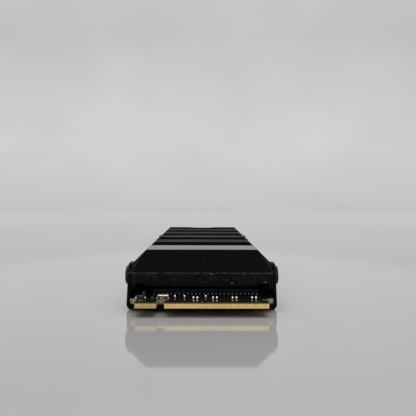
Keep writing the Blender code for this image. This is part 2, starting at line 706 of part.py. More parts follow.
def make_crystal(parts, ceramic, gold):
    centre_y = FRONT_Y + CRYSTAL_SETBACK + CRYSTAL_ALONG / 2
    half = CRYSTAL_ACROSS / 2
    depth = CRYSTAL_ALONG / 2
    notch = CRYSTAL_CORNER_RADIUS
    outline = arc((half, depth), notch, 270, 180, 4) + arc((-half, depth), notch, 360, 270, 4)
    outline += arc((-half, -depth), notch, 90, 0, 4) + arc((half, -depth), notch, 180, 90, 4)
    base_z = BOARD_TOP + SOLDER_GAP + CRYSTAL_BASE_HEIGHT / 2
    centre_x = KEY_X + CRYSTAL_OFFSET
    frame = Matrix.Translation((centre_x, centre_y, base_z))
    flat_solid("crystal_base", outline, CRYSTAL_BASE_HEIGHT, frame, parts, ceramic)
    lid_z = base_z + (CRYSTAL_BASE_HEIGHT + CRYSTAL_LID_HEIGHT) / 2 + SOLDER_GAP
    margin = 2 * CRYSTAL_LID_MARGIN
    size = (CRYSTAL_ACROSS - margin, CRYSTAL_ALONG - margin, CRYSTAL_LID_HEIGHT)
    lid = box_object("crystal_lid", size, (centre_x, centre_y, lid_z), parts, gold)
    bevel(lid, CRYSTAL_LID_EDGE)


def chip_mesh(name, form, collection):
    """A chip part lying along Y: a block with a slightly larger terminal over each end."""
    length, width, height, terminal = form
    body = bmesh.new()
    inner = length - 2 * TERMINAL_PROUD
    size = (width - 2 * TERMINAL_PROUD, inner, height - 2 * TERMINAL_PROUD)
    add_box(body, size, (0, 0, height / 2))
    block = mesh_object(name, body, collection)
    ends = bmesh.new()
    for side in (-1, 1):
        add_box(ends, (width, terminal, height), (0, side * (length - terminal) / 2, height / 2))
    cap = mesh_object(name + "_ends", ends, collection)
    boolean(block, cap, "UNION")
    mesh = evaluated_copy(block, name)
    for obj in (block, cap):
        bpy.data.objects.remove(obj, do_unlink=True)
    return mesh


def chip_places():
    """Name, form, centre x, centre y behind the tongue's edge, and whether the part lies across."""
    places = []
    first_lane = KEY_X + FIRST_LANE_FROM_KEY
    lane_pitch = (TONGUE_HALF - LAST_LANE_INSET - first_lane) / (LANES - 1)
    y = COUPLING_SETBACK + CHIP_0201[0] / 2
    for lane in range(LANES):
        for side in (-1, 1):
            x = first_lane + lane * lane_pitch + side * COUPLING_PITCH / 2
            places.append((f"coupling_capacitor_{len(places) + 1}", "0201", x, y, False))
    left = -BOARD_HALF
    places.append(("filter_capacitor", "0603", left + FILTER_PLACE[0], FILTER_PLACE[1], True))
    places.append(("reserve_capacitor", "0402", left + RESERVE_PLACE[0], RESERVE_PLACE[1], False))
    for number, (inset, setback) in enumerate(STRAP_PLACES, 1):
        places.append((f"strap_resistor_{number}", "0201", left + inset, setback, number == 1))
    for number, (inset, setback) in enumerate(SENSE_PLACES, 1):
        places.append((f"sense_resistor_{number}", "0201", left + inset, setback, False))
    beside = BOARD_HALF - DECOUPLING_INSET
    for number, offset in enumerate(DECOUPLING_OFFSETS, 1):
        setback = CONTROLLER_SETBACK + offset
        places.append((f"decoupling_capacitor_{number}", "0402", -beside, setback, False))
        places.append((f"decoupling_capacitor_{number + 2}", "0402", beside, setback, False))
    behind = BOARD_LENGTH - BULK_REAR_SETBACK
    places.append(("bulk_capacitor_1", "0805", -BULK_X, behind, True))
    places.append(("bulk_capacitor_2", "0805", BULK_X, behind, True))
    return places


def make_chip_parts(parts, cutters, material):
    forms = {"0201": CHIP_0201, "0402": CHIP_0402, "0603": CHIP_0603, "0805": CHIP_0805}
    meshes = {name: chip_mesh("chip_" + name, form, cutters) for name, form in forms.items()}
    for mesh in meshes.values():
        mesh.materials.append(material)
    for name, form, x, setback, across in chip_places():
        chip = place(bpy.data.objects.new(name, meshes[form]), parts)
        chip.location = (x, FRONT_Y + setback, BOARD_TOP + SOLDER_GAP)
        chip.rotation_euler.z = math.pi / 2 if across else 0.0


def pad_between(name, half_width, setbacks, heights, parts, material):
    """A slab between two setbacks from the board's ends and two heights."""
    front = FRONT_Y + setbacks[0]
    rear = REAR_Y - setbacks[1]
    low, high = heights
    centre = (0, (front + rear) / 2, (low + high) / 2)
    return box_object(name, (2 * half_width, rear - front, high - low), centre, parts, material)


def make_pads(parts, material):
    heights = (BOARD_TOP + PACKAGE_TOP + PAD_GAP, HEATSINK_BASE - PAD_GAP)
    setbacks = (TOP_PAD_SETBACK, TOP_PAD_REAR_SETBACK)
    half = HEATSINK_HALF - RAIL_WIDTH - PAD_TO_RAIL
    pad_between("top_thermal_pad", half, setbacks, heights, parts, material)
    heights = (SHEET + PAD_GAP, BOARD_BASE - PAD_GAP)
    setbacks = (BOTTOM_PAD_SETBACK, BOTTOM_PAD_REAR_SETBACK)
    half = BOARD_HALF - BOTTOM_PAD_INSET
    pad_between("bottom_thermal_pad", half, setbacks, heights, parts, material)


def main():
    clear_scene()
    parts = new_collection("gumstick_drive")
    cutters = new_collection("cutters")
    finish = make_materials()
    holes = screw_hole_cutter(cutters)
    make_tray(parts, cutters, holes, finish["black_sheet"])
    make_heatsink(parts, cutters, holes, finish["black_anodised"])
    make_plate(parts, finish["silver_plate"])
    make_screws(parts, cutters, finish["screw_black"])
    make_board(parts, cutters, finish["board_black"])
    black = finish["package_black"]
    for name, size, centre_x, setback, ball in packages():
        make_package(name, size, centre_x, setback, ball, parts, cutters, black)
    make_power_parts(parts, black, finish["coil_grey"])
    make_crystal(parts, finish["ceramic"], finish["gold"])
    make_chip_parts(parts, cutters, finish["chip_part"])
    make_pads(parts, finish["pad_grey"])


if __name__ == "__main__":
    main()
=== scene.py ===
"""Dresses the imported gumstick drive: finer sheet metal, block, board and chips, and their finishes.

Lengths are metres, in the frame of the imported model: +Z up, the edge connector towards -Y.
"""

import math

import bmesh
import bpy
import numpy as np
from bpy.props import FloatProperty, FloatVectorProperty, PointerProperty
from bpy.types import Operator, Panel, PropertyGroup
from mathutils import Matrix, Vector


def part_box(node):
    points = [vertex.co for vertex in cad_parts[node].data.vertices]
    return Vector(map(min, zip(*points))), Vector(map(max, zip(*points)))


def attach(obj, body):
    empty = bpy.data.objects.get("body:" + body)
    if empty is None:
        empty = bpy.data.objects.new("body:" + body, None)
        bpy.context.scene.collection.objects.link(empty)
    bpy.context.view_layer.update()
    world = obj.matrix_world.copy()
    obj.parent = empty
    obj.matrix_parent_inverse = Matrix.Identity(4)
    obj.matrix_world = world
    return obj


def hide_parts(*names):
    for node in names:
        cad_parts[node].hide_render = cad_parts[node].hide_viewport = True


bl_info = {
    "name": "Gumstick Drive Dressing",
    "version": (1, 0, 0),
    "blender": (4, 5, 0),
    "location": "3D View > Sidebar > Drive",
    "description": "Builds the dressed pieces of a gumstick solid state drive on its packed frame",
    "category": "Object",
}

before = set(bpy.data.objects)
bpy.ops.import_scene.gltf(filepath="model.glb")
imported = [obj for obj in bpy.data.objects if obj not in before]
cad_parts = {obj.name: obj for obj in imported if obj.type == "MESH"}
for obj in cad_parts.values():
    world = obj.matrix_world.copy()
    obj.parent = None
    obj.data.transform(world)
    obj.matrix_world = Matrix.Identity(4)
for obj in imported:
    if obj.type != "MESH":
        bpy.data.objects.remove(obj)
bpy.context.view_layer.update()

BOARD_LOW, BOARD_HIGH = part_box("circuit_board")
BLOCK_LOW, BLOCK_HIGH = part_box("heatsink")
TRAY_LOW, TRAY_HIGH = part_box("base_tray")
PLATE_LOW, PLATE_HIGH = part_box("accent_plate")

# Board: the tongue, key and rear hole of its standard
COPPER = 0.000035
BOARD_TOP = BOARD_HIGH.z - COPPER
BOARD_BASE = BOARD_LOW.z + COPPER
FRONT_Y = BOARD_LOW.y
REAR_Y = BOARD_HIGH.y
TONGUE_HALF = 0.009925
TONGUE_LENGTH = 0.0040
KEY_X = -0.006125
KEY_WIDTH = 0.0012
KEY_DEPTH = 0.0035
HOLE_RADIUS = 0.00175
RING_RADIUS = 0.00275
FINGER_SETBACK = 0.0003

# Cooler: the notch over the rear screw, the tray's sheet with its ears, and its rounds' angles
NOTCH_RADIUS = 0.0034
SHEET = 0.0005
BEND_RADIUS = 0.0008
WALL_GAP = 0.00014
EAR_RISE = 0.00095
EAR_CORNER = 0.0008
EAR_LENGTH = 0.0045
FRONT_BOW = 0.0010
FRONT_RAKE = 0.0006
WALL_LEAN = (TRAY_HIGH.x - BLOCK_HIGH.x - WALL_GAP - SHEET) / (TRAY_HIGH.z - BEND_RADIUS)
QUARTER = np.linspace(0.0, np.pi / 2, 7)

# Looks: where the coatings are shaded, the specks of dust, and colours that hold for every drive
SHADE_TOP = 0.0043
SHADE_FADE = 0.0003
DUST_RADIUS = 0.00007
DUST_PLACES = (
    (0.0015, -0.0352, 0.00572),
    (0.00985, -0.0352, 0.00445),
    (0.00465, -0.0352, 0.00434),
    (-0.0114, -0.0335, 0.00574),
)
DUST_COLOUR = (0.3916, 0.3763, 0.3515)
# Bare laminate between the fingers, darkened nearly to black: painted shade.
BARE_LAMINATE_IN_SHADE = (0.012, 0.008, 0.004)
# Painted shade: the rim's colour away from the front edge, far darker than the laminate's own.
LAMINATE_IN_SHADE = (0.16, 0.135, 0.058)
SCORCHED_LAMINATE = (0.15, 0.062, 0.018)
SCRAPED_LAMINATE = (0.34, 0.28, 0.12)
TINNED_COPPER = (0.17, 0.17, 0.185)
OXIDE = (0.0045, 0.0045, 0.005)
RUBBED_OXIDE = (0.045, 0.045, 0.047)
LID_GOLD = (1.0, 0.90, 0.60)
CRYSTAL_CERAMIC = (0.017, 0.015, 0.027)
RESISTOR_GLAZE = (0.03, 0.03, 0.034)
FERRITE = (0.055, 0.054, 0.056)


# Shapes: whole arrays of points, and blocks of faces

def grid_quads(index):
    """Quads between neighbouring rows and columns of a grid of point numbers."""
    corners = (index[:-1, :-1], index[:-1, 1:], index[1:, 1:], index[1:, :-1])
    return np.stack(corners, axis=-1).reshape(-1, 4)


def ring_quads(rings, around):
    """Quads between stacked closed rings that hold the same number of points."""
    index = np.arange(rings * around).reshape(rings, around)
    return grid_quads(np.concatenate([index, index[:, :1]], axis=1))


def capped_rings(rings, around):
    """Face blocks of stacked rings: their quads, and a flat face over the first and the last ring."""
    first = np.arange(around)[None, ::-1]
    last = np.arange(around)[None, :] + (rings - 1) * around
    return [ring_quads(rings, around), first, last]


def strip_quads(one, other):
    """Quads between two rows of point numbers."""
    return np.stack([one[:-1], other[:-1], other[1:], one[1:]], axis=-1)


class Surface:
    """The points, faces and finish numbers of one piece, gathered shape by shape."""

    def __init__(self):
        self.points = []
        self.faces = []
        self.finishes = []
        self.count = 0

    def add(self, points, blocks, finishes=0):
        """Adds a shape, with one finish number for all its blocks of faces or one for each."""
        points = np.asarray(points, float).reshape(-1, 3)
        for block, finish in zip(blocks, np.broadcast_to(finishes, len(blocks)).tolist()):
            self.faces += (np.asarray(block) + self.count).tolist()
            self.finishes += [finish] * len(block)
        self.points.append(points)
        self.count += len(points)

    def add_copies(self, points, blocks, places, finishes=0):
        """The same shape at every place, its faces numbered on by one shape's points a copy."""
        points = np.asarray(points, float).reshape(-1, 3)
        places = np.asarray(places, float).reshape(-1, 3)
        step = np.arange(len(places))[:, None, None] * len(points)
        many = [(np.asarray(block)[None] + step).reshape(-1, np.shape(block)[1]) for block in blocks]
        self.add(points[None] + places[:, None], many, finishes)


def rounded_slab(size, corner, edge, draft=0.0, edge_steps=2, corner_steps=3):
    """A slab on z = 0: a rounded rectangle carried up over a profile.

    The rectangle's quarter circles of the corner radius turn about its inner corners. The profile
    is a quarter circle of the edge radius, a straight side that leans in by the draft, and a
    second quarter circle; each ring is the rectangle drawn in by the profile's inset.
    """
    width, length, height = size
    quarter = np.linspace(0.0, np.pi / 2, corner_steps + 1)
    turn = (np.arange(4)[:, None] * np.pi / 2 + quarter).ravel()
    side_x = np.repeat([1.0, -1.0, -1.0, 1.0], corner_steps + 1)
    side_y = np.repeat([1.0, 1.0, -1.0, -1.0], corner_steps + 1)
    lower = np.linspace(-np.pi / 2, 0.0, edge_steps + 1)
    upper = np.linspace(0.0, np.pi / 2, edge_steps + 1)
    tilt = np.concatenate([lower, upper])[:, None]
    rise = np.repeat([0.0, height - 2 * edge], edge_steps + 1)[:, None]
    z = edge + edge * np.sin(tilt) + rise
    inset = edge * (1.0 - np.cos(tilt)) + draft * z / height
    bend = np.maximum(corner - inset, 0.0)
    x = side_x * (width / 2 - inset - bend) + bend * np.cos(turn)
    y = side_y * (length / 2 - inset - bend) + bend * np.sin(turn)
    points = np.stack([x, y, np.broadcast_to(z, x.shape)], axis=-1)
    return points, capped_rings(*x.shape)


def solder_wedge(width, height, reach):
    """A wedge of solder on y = 0: stations across, each a hollow quarter of height against reach.

    The profile runs out by one less the cosine and down by one less the sine of even angles, and
    its back is sunk a little behind y = 0. Towards its ends across, height and reach shrink along
    a half ellipse, down to a tenth.
    """
    across_steps, turn_steps, sunk, least = 9, 6, 0.00003, 0.1
    across = np.sin(np.linspace(-np.pi / 2, np.pi / 2, across_steps))
    swell = np.sqrt(np.maximum(1.0 - across ** 2, 0.0))[:, None] * (1.0 - least) + least
    turn = np.linspace(0.0, np.pi / 2, turn_steps)
    out = np.concatenate([reach * (1 - np.cos(turn)), [-sunk, -sunk]])
    up = np.concatenate([height * (1 - np.sin(turn)), [0.0, height]])
    share = np.concatenate([np.ones(turn_steps), [0.0, 0.0]])
    y = -(out * (swell * share + (1 - share)))
    x = np.broadcast_to(across[:, None] * width / 2, y.shape)
    return np.stack([x, y, up * swell], axis=-1), capped_rings(*y.shape)


def turned(profile, around):
    """A profile of radius and height turned about Z: x is radius times cosine, y radius times sine."""
    profile = np.asarray(profile, float)
    turn = np.arange(around) * 2 * np.pi / around
    x = profile[:, :1] * np.cos(turn)
    y = profile[:, :1] * np.sin(turn)
    z = np.broadcast_to(profile[:, 1:], x.shape)
    return np.stack([x, y, z], axis=-1), capped_rings(len(profile), around)


def closed_shell(surface, outer, inner, front_finish=0):
    """Two facing grids of points, closed by a strip along each of their four sides, the front last."""
    rows, columns = outer.shape[:2]
    first = np.arange(rows * columns).reshape(rows, columns)
    second = first + rows * columns
    blocks = [grid_quads(first), grid_quads(second)[:, ::-1], strip_quads(first[-1], second[-1])]
    blocks += [strip_quads(first[:, k], second[:, k]) for k in (0, -1)]
    blocks.append(strip_quads(first[0], second[0]))
    points = np.concatenate([outer.reshape(-1, 3), inner.reshape(-1, 3)])
    surface.add(points, blocks, (0, 0, 0, 0, 0, front_finish))


def build_piece(name, surface, materials, nodes, crease=35.0):
    """Makes the mesh, welds its seams and poles, turns its faces outwards and sets it on the frame."""
    mesh = bpy.data.meshes.new(name)
    mesh.from_pydata(np.concatenate(surface.points).tolist(), [], surface.faces)
    mesh.polygons.foreach_set("material_index", surface.finishes)
    shape = bmesh.new()
    shape.from_mesh(mesh)
    bmesh.ops.remove_doubles(shape, verts=shape.verts, dist=5e-8)
    bmesh.ops.dissolve_degenerate(shape, edges=shape.edges, dist=1e-8)
    bmesh.ops.recalc_face_normals(shape, faces=shape.faces)
    shape.to_mesh(mesh)
    shape.free()
    mesh.shade_smooth()
    mesh.set_sharp_from_angle(angle=math.radians(crease))
    for material in materials:
        mesh.materials.append(material)
    piece = bpy.data.objects.new(name, mesh)
    bpy.context.scene.collection.objects.link(piece)
    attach(piece, "root")
    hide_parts(*nodes)
    return piece


def break_edges(piece, width, finish, angle):
    """Rounds the edges that turn by more than the angle, and gives the new faces their own finish.

    An edge's weight is its narrower face's depth over a little more than twice the width, at most
    1, so that the two sides of a narrow face never meet.
    """
    room = 2.3 * width
    shape = bmesh.new()
    shape.from_mesh(piece.data)
    weight = shape.edges.layers.float.new("bevel_weight_edge")
    for edge in shape.edges:
        if edge.is_manifold and edge.calc_face_angle() > math.radians(angle):
            depth = min(face.calc_area() for face in edge.link_faces) / edge.calc_length()
            edge[weight] = min(1.0, depth / room)
    shape.to_mesh(piece.data)
    shape.free()
    bevel = piece.modifiers.new("edge_break", "BEVEL")
    bevel.width = width
    bevel.segments = 3
    bevel.limit_method = "WEIGHT"
    bevel.use_clamp_overlap = False
    bevel.material = finish
    bevel.harden_normals = True


def box_of(node):
    """Centre of the footprint and size of a CAD node, as arrays."""
    low, high = (np.array(corner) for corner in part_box(node))
    return np.array([*(low + high)[:2] / 2, low[2]]), high - low


def dress_node(node, material):
    """Gives a CAD node that stays its finish."""
    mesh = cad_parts[node].data
    mesh.materials.clear()
    mesh.materials.append(material)


# Finishes: shader maths as expressions on sockets

class Wire:
    """A node's output. Arithmetic with it adds Math nodes to its tree."""

    def __init__(self, finish, socket):
        self.finish = finish
        self.socket = socket

    def _math(self, operation, first, second):
        return self.finish.node("ShaderNodeMath", {"operation": operation}, {0: first, 1: second})

    def __add__(self, other):
        return self._math("ADD", self, other)

    def __radd__(self, other):
        return self._math("ADD", other, self)

    def __sub__(self, other):
        return self._math("SUBTRACT", self, other)

    def __rsub__(self, other):
        return self._math("SUBTRACT", other, self)

    def __mul__(self, other):
        return self._math("MULTIPLY", self, other)

    def __rmul__(self, other):
        return self._math("MULTIPLY", other, self)

    def __gt__(self, other):
        return self._math("GREATER_THAN", self, other)

    def __lt__(self, other):
        return self._math("LESS_THAN", self, other)


def toned(colour, gain=1.0):
    """Colour times a gain, as three numbers."""
    return tuple(float(part) * gain for part in colour[:3])


def opaque(colour, gain=1.0):
    """Colour times a gain, with full alpha."""
    return (*toned(colour, gain), 1.0)


class Finish:
    """A material and its Principled shader."""

    def __init__(self, name, colour, roughness, metallic=0.0, **constants):
        self.material = bpy.data.materials.new(name)
        self.material.use_nodes = True
        self.tree = self.material.node_tree
        self.shader = self.tree.nodes["Principled BSDF"]
        self.material.diffuse_color = opaque(colour)
        self.feed("Base Color", opaque(colour))
        self.feed("Roughness", roughness)
        self.feed("Metallic", metallic)
        for label, value in constants.items():
            self.feed(label.replace("_", " "), value)
        self.place = self.node("ShaderNodeTexCoord", output="Object")

    def node(self, kind, settings=None, sockets=None, output=0):
        """Adds a node, sets its options, then fills or links its sockets."""
        made = self.tree.nodes.new(kind)
        for label, value in (settings or {}).items():
            setattr(made, label, value)
        for label, value in (sockets or {}).items():
            self._fill(made.inputs[label], value)
        return Wire(self, made.outputs[output])

    def _fill(self, socket, value):
        if isinstance(value, Wire):
            self.tree.links.new(value.socket, socket)
        else:
            socket.default_value = value

    def feed(self, label, value):
        """Fills or links a socket of the shader."""
        self._fill(self.shader.inputs[label], value)

    def noise(self, scale, detail=2.0, roughness=0.5, vector=None):
        """Noise of the given number of cells a metre, on the piece's own coordinates."""
        sockets = {"Vector": vector or self.place, "Scale": scale, "Detail": detail, "Roughness": roughness}
        return self.node("ShaderNodeTexNoise", None, sockets)

    def streaks(self, stretch, detail=2.0, roughness=0.5):
        """Noise of a different number of cells a metre along each axis."""
        return self.noise(1.0, detail, roughness, self.stretched(stretch))

    def cells(self, scale, feature="F1", vector=None, output="Distance", randomness=1.0):
        """Cells of the given number a metre: the distance to their middles or edges, or a colour each."""
        sockets = {"Vector": vector or self.place, "Scale": scale, "Randomness": randomness}
        return self.node("ShaderNodeTexVoronoi", {"feature": feature}, sockets, output)

    def stretched(self, stretch, origin=(0.0, 0.0, 0.0)):
        """Coordinates that a Mapping node has scaled by different amounts along the axes."""
        sockets = {"Vector": self.place, "Location": origin, "Scale": stretch}
        return self.node("ShaderNodeMapping", {"vector_type": "POINT"}, sockets, "Vector")

    def band(self, value, low, high, to_low=0.0, to_high=1.0):
        """Value carried from one range to another, held at its ends."""
        sockets = {"Value": value, "From Min": low, "From Max": high, "To Min": to_low, "To Max": to_high}
        return self.node("ShaderNodeMapRange", {"clamp": True}, sockets, "Result")

    def mix(self, share, first, second):
        """First colour where the share is 0, second where it is 1."""
        sockets = {0: share, 6: first, 7: second}
        return self.node("ShaderNodeMix", {"data_type": "RGBA"}, sockets, 2)

    def two_tone(self, share, colour, first, second):
        """The colour times the first gain where the share is 0, times the second where it is 1."""
        return self.mix(share, opaque(colour, first), opaque(colour, second))

    def scaled(self, colour, factor):
        """Colour times a number."""
        sockets = {0: colour, "Scale": factor}
        return self.node("ShaderNodeVectorMath", {"operation": "SCALE"}, sockets)

    def specks(self, places, radius):
        """1 within the radius of any of the places."""
        total = 0.0
        for place in places:
            sockets = {0: self.place, 1: place}
            distance = self.node("ShaderNodeVectorMath", {"operation": "DISTANCE"}, sockets, "Value")
            total = total + (distance < radius)
        return total

    def axes(self, vector=None):
        """The three parts of a vector, or of the piece's own coordinates."""
        split = self.node("ShaderNodeSeparateXYZ", None, {"Vector": vector or self.place})
        return [Wire(self, output) for output in split.socket.node.outputs]

    def roughen(self, value, least, most, low=0.3, high=0.7):
        """Roughness from least to most while the value goes from low to high."""
        self.feed("Roughness", self.band(value, low, high, least, most))

    def bump(self, height, distance, strength):
        """Relief of the given depth in metres where the height is 1."""
        sockets = {"Height": height, "Distance": distance, "Strength": strength}
        self.feed("Normal", self.node("ShaderNodeBump", None, sockets, "Normal"))


def anodised_black(name, colour, grain, roughness, sheen=0.03):
    """Black anodised aluminium: blasted grain, brighter bare grains and a few specks of dust.

    The grain is how strongly the blasting shows, and low parts that the tray shades are darker.
    """
    finish = Finish(name, colour, roughness, Specular_IOR_Level=sheen)
    fine = finish.noise(5200.0, 3.0, 0.6, finish.stretched((0.45, 1.0, 1.0)))
    coarse = finish.noise(900.0)
    cloud = finish.noise(120.0)
    tone = finish.band(fine, 0.35, 0.72) * 0.75 + finish.band(coarse, 0.4, 0.7) * 0.25
    base = finish.two_tone(tone, colour, 0.72, 1.0 + 1.2 * grain)
    crumbs = finish.noise(3900.0, 1.0, 0.5, finish.stretched((0.7, 1.0, 1.0)))
    bare = finish.band(crumbs, 0.5, 0.66) * grain
    base = finish.mix(bare, base, opaque((colour[0], colour[1], colour[0] * 1.3), 4.6))
    shade = finish.band(finish.axes()[2], SHADE_TOP - SHADE_FADE, SHADE_TOP, 0.45, 1.0)
    base = finish.scaled(base, shade)
    chance = finish.axes(finish.cells(500.0, output="Color"))[0]
    dust = finish.specks(DUST_PLACES, DUST_RADIUS) + (finish.cells(500.0) < 0.03) * (chance > 0.93)
    finish.feed("Base Color", finish.mix(dust, base, opaque(DUST_COLOUR)))
    finish.roughen(cloud * 0.6 + fine * 0.4, roughness - 0.07, roughness + 0.1)
    finish.bump(fine * 0.7 + coarse * 0.3, 0.000012 * (0.5 + grain), 0.35 + 0.5 * grain)
    return finish.material


def edge_painted_highlight(name, colour):
    """Painted highlight on broken edges: the coating's colour, given lighter, and a brighter line along the
    nose's crease, broken up by noise.
    """
    finish = Finish(name, colour, 0.36, Specular_IOR_Level=0.03)
    rub = finish.noise(1500.0, 3.0, 0.6)
    height = finish.axes()[2]
    crease, near, fade = crease_height(), 0.0002, 0.0001
    above = finish.band(height, crease - near - fade, crease - near)
    below = finish.band(height, crease + near, crease + near + fade, 1.0, 0.0)
    # Painted highlight: a bright grey line, broken up by noise, at the height of the nose's crease.
    crease_highlight = finish.band(rub, 0.36, 0.6) * (above * below)
    metal = (colour[0], colour[0], colour[0])
    finish.feed("Base Color", finish.mix(crease_highlight, opaque(colour), opaque(metal, 12.0)))
    finish.roughen(rub, 0.42, 0.28)
    finish.bump(rub, 0.000004, 0.4)
    return finish.material


def satin_silver(name, colour):
    """Bead-blasted aluminium with a faint lengthwise drag."""
    finish = Finish(name, colour, 0.42, 1.0)
    fine = finish.noise(6500.0, 3.0, 0.6)
    drag = finish.streaks((350.0, 5200.0, 350.0), 3.0)
    cloud = finish.noise(160.0)
    tone = fine * 0.45 + drag * 0.35 + cloud * 0.2
    finish.feed("Base Color", finish.two_tone(finish.band(tone, 0.36, 0.64), colour, 0.84, 1.08))
    finish.roughen(tone, 0.36, 0.5, 0.35, 0.65)
    finish.bump(fine * 0.6 + drag * 0.4, 0.000006, 0.5)
    return finish.material


def laminate_rim(name, colour, in_shade):
    """The board's sawn edge: glass layers in resin with cut fibre ends, scorched along the top.

    Away from the front it goes over to a darker, blotchy colour, and left of the key it is darker too: both
    are painted shade.
    """
    finish = Finish(name, colour, 0.62, Specular_IOR_Level=0.3)
    x, y, z = finish.axes()
    layer = finish.node("ShaderNodeMath", {"operation": "SINE"}, {0: z * 62000.0})
    fibre = finish.streaks((9000.0, 9000.0, 2200.0))
    bundle = finish.streaks((1500.0, 1500.0, 160.0), 3.0, 0.6)
    tone = finish.band(layer * 0.08 + fibre * 0.4 + bundle * 0.6, 0.36, 0.66, 0.74, 1.24)
    cloud = finish.noise(2600.0)
    mottled = finish.scaled(toned(in_shade), finish.band(cloud, 0.38, 0.62, 0.45, 1.7))
    # Painted shade: the rim goes darker away from the front edge.
    recess = finish.band(y, FRONT_Y + 0.0002, FRONT_Y + 0.0028)
    key_shade = finish.band(x, KEY_X - KEY_WIDTH / 2, KEY_X + KEY_WIDTH / 2, 0.69, 1.0)
    front = finish.scaled(toned(colour), key_shade)
    scorched = finish.band(z, BOARD_TOP - 0.00013, BOARD_TOP - 0.00009) * (y < FRONT_Y + 0.0001)
    front = finish.mix(scorched, front, opaque(SCORCHED_LAMINATE))
    finish.feed("Base Color", finish.scaled(finish.mix(recess, front, mottled), tone))
    finish.roughen(fibre, 0.5, 0.72)
    finish.bump(layer * 0.2 + fibre * 0.8, 0.00001, 0.5)
    return finish.material


def board_mask(name, mask, bare):
    """Black solder mask over raised traces and tented holes; bare laminate on the tongue's fingers, darkened
    far below the laminate's own colour as painted shade.

    Straight traces run on from the fingers to where the routed ones start. The mask is scraped off
    behind the key, and four small pads of tinned copper lie open.
    """
    finish = Finish(name, mask, 0.36, Specular_IOR_Level=0.07)
    x, y, _ = finish.axes()
    bare_end, routed, drilled = FRONT_Y + 0.0024, FRONT_Y + 0.0052, FRONT_Y + 0.0040
    bare_share = finish.band(y, bare_end - 0.00002, bare_end + 0.00002, 1.0, 0.0)
    half_pitch = sizes().finger_pitch / 2
    lane = finish.node("ShaderNodeMath", {"operation": "PINGPONG"}, {0: x + half_pitch, 1: half_pitch})
    straight = finish.band(lane, 0.00007, 0.00009, 1.0, 0.0) * (y < routed)
    route = finish.cells(900.0, "DISTANCE_TO_EDGE", finish.stretched((1.0, 0.45, 1.0)))
    deeper = finish.band(route, 0.05, 0.07) * (y > routed)
    hole = finish.cells(1400.0, randomness=0.55)
    vias = finish.band(hole, 0.12, 0.17, 1.0, 0.0) * (y > drilled)
    relief = straight * 0.6 + deeper * 0.6 - vias * 0.8
    fine = finish.noise(7000.0)
    covered = finish.two_tone(finish.band(relief, -0.6, 0.6), mask, 0.75, 1.35)
    weave = finish.cells(2300.0)
    # The bare laminate's given colour is painted shade, far darker than the laminate's own.
    laminate = finish.two_tone(finish.band(weave, 0.0, 0.7), bare, 1.0, 0.55)

    behind_key = [(KEY_X + 0.00085, FRONT_Y + 0.0034, BOARD_TOP)]
    scraped = finish.specks(behind_key, 0.00042) * finish.band(weave, 0.75, 0.45)
    covered = finish.mix(scraped, covered, opaque(SCRAPED_LAMINATE))
    wide = [(across, FRONT_Y + 0.0027, BOARD_TOP) for across in (-0.0093, 0.0095)]
    small = [(-0.00356, FRONT_Y + 0.0049, BOARD_TOP), (0.0092, FRONT_Y + 0.0066, BOARD_TOP)]
    tinned = (finish.specks(wide, 0.0004) + finish.specks(small, 0.0002)) * finish.band(fine, 0.3, 0.6)
    covered = finish.mix(tinned, covered, opaque(TINNED_COPPER))
    finish.feed("Base Color", finish.mix(bare_share, covered, laminate))
    finish.feed("Roughness", finish.band(fine, 0.3, 0.7, 0.3, 0.42) + bare_share * 0.2)
    finish.bump(relief * 0.8 + fine * 0.2, 0.000012, 0.3)
    return finish.material


def plated_gold(name, colour, roughness):
    """Gold over nickel: redder patches, light scuffs along Y, and darkened at the fingers' leading ends as
    painted shade.
    """
    finish = Finish(name, colour, roughness, 1.0)
    patch = finish.noise(1500.0, 3.0, 0.6)
    scuff = finish.streaks((14000.0, 900.0, 5000.0), 3.0, 0.6)
    red = (colour[0] * 0.93, colour[1] * 0.84, colour[2] * 0.7)
    base = finish.mix(finish.band(patch, 0.4, 0.68), opaque(colour), opaque(red))
    leading = FRONT_Y + FINGER_SETBACK
    # Painted shade: the fingers' leading ends are darkened, which holds back their highlight.
    leading_end_shade = finish.band(finish.axes()[1], leading + 0.00001, leading + 0.00007, 0.22, 1.0)
    finish.feed("Base Color", finish.scaled(base, leading_end_shade))
    finish.roughen(scuff, roughness - 0.04, roughness + 0.06)
    finish.bump(scuff * 0.6 + patch * 0.4, 0.000001, 0.4)
    return finish.material


def moulded_black(name, colour):
    """Moulding compound: filler grains, a matt top and faint flow marks."""
    finish = Finish(name, colour, 0.56, Specular_IOR_Level=0.06)
    grain = finish.noise(9000.0, 4.0, 0.65)
    flow = finish.streaks((240.0, 700.0, 240.0))
    grit = finish.band(finish.cells(5200.0), 0.1, 0.3, 1.0, 0.0)
    tone = grain * 0.6 + flow * 0.4
    base = finish.two_tone(finish.band(tone, 0.36, 0.64), colour, 0.7, 1.35)
    finish.feed("Base Color", finish.mix(grit * 0.35, base, opaque(colour, 3.2)))
    finish.roughen(tone, 0.48, 0.66, 0.35, 0.65)
    finish.bump(grain, 0.000008, 0.6)
    return finish.material


def solder_tin(name, colour):
    """Reflowed solder and tinned ends: bright, with a frosted grain, and darker near the board as painted
    shade.
    """
    finish = Finish(name, colour, 0.28, 1.0)
    frost = finish.noise(45000.0, 3.0, 0.6)
    dull = finish.noise(9000.0)
    # Painted shade: darker within a tenth of a millimetre of the board.
    board_shade = finish.band(finish.axes()[2], BOARD_TOP + 0.00002, BOARD_TOP + 0.0001, 0.45, 1.0)
    tone = finish.two_tone(finish.band(dull, 0.4, 0.7), colour, 1.0, 0.84)
    finish.feed("Base Color", finish.scaled(tone, board_shade))
    finish.roughen(frost * 0.5 + dull * 0.5, 0.22, 0.38, 0.35, 0.65)
    finish.bump(frost, 0.000001, 0.4)
    return finish.material


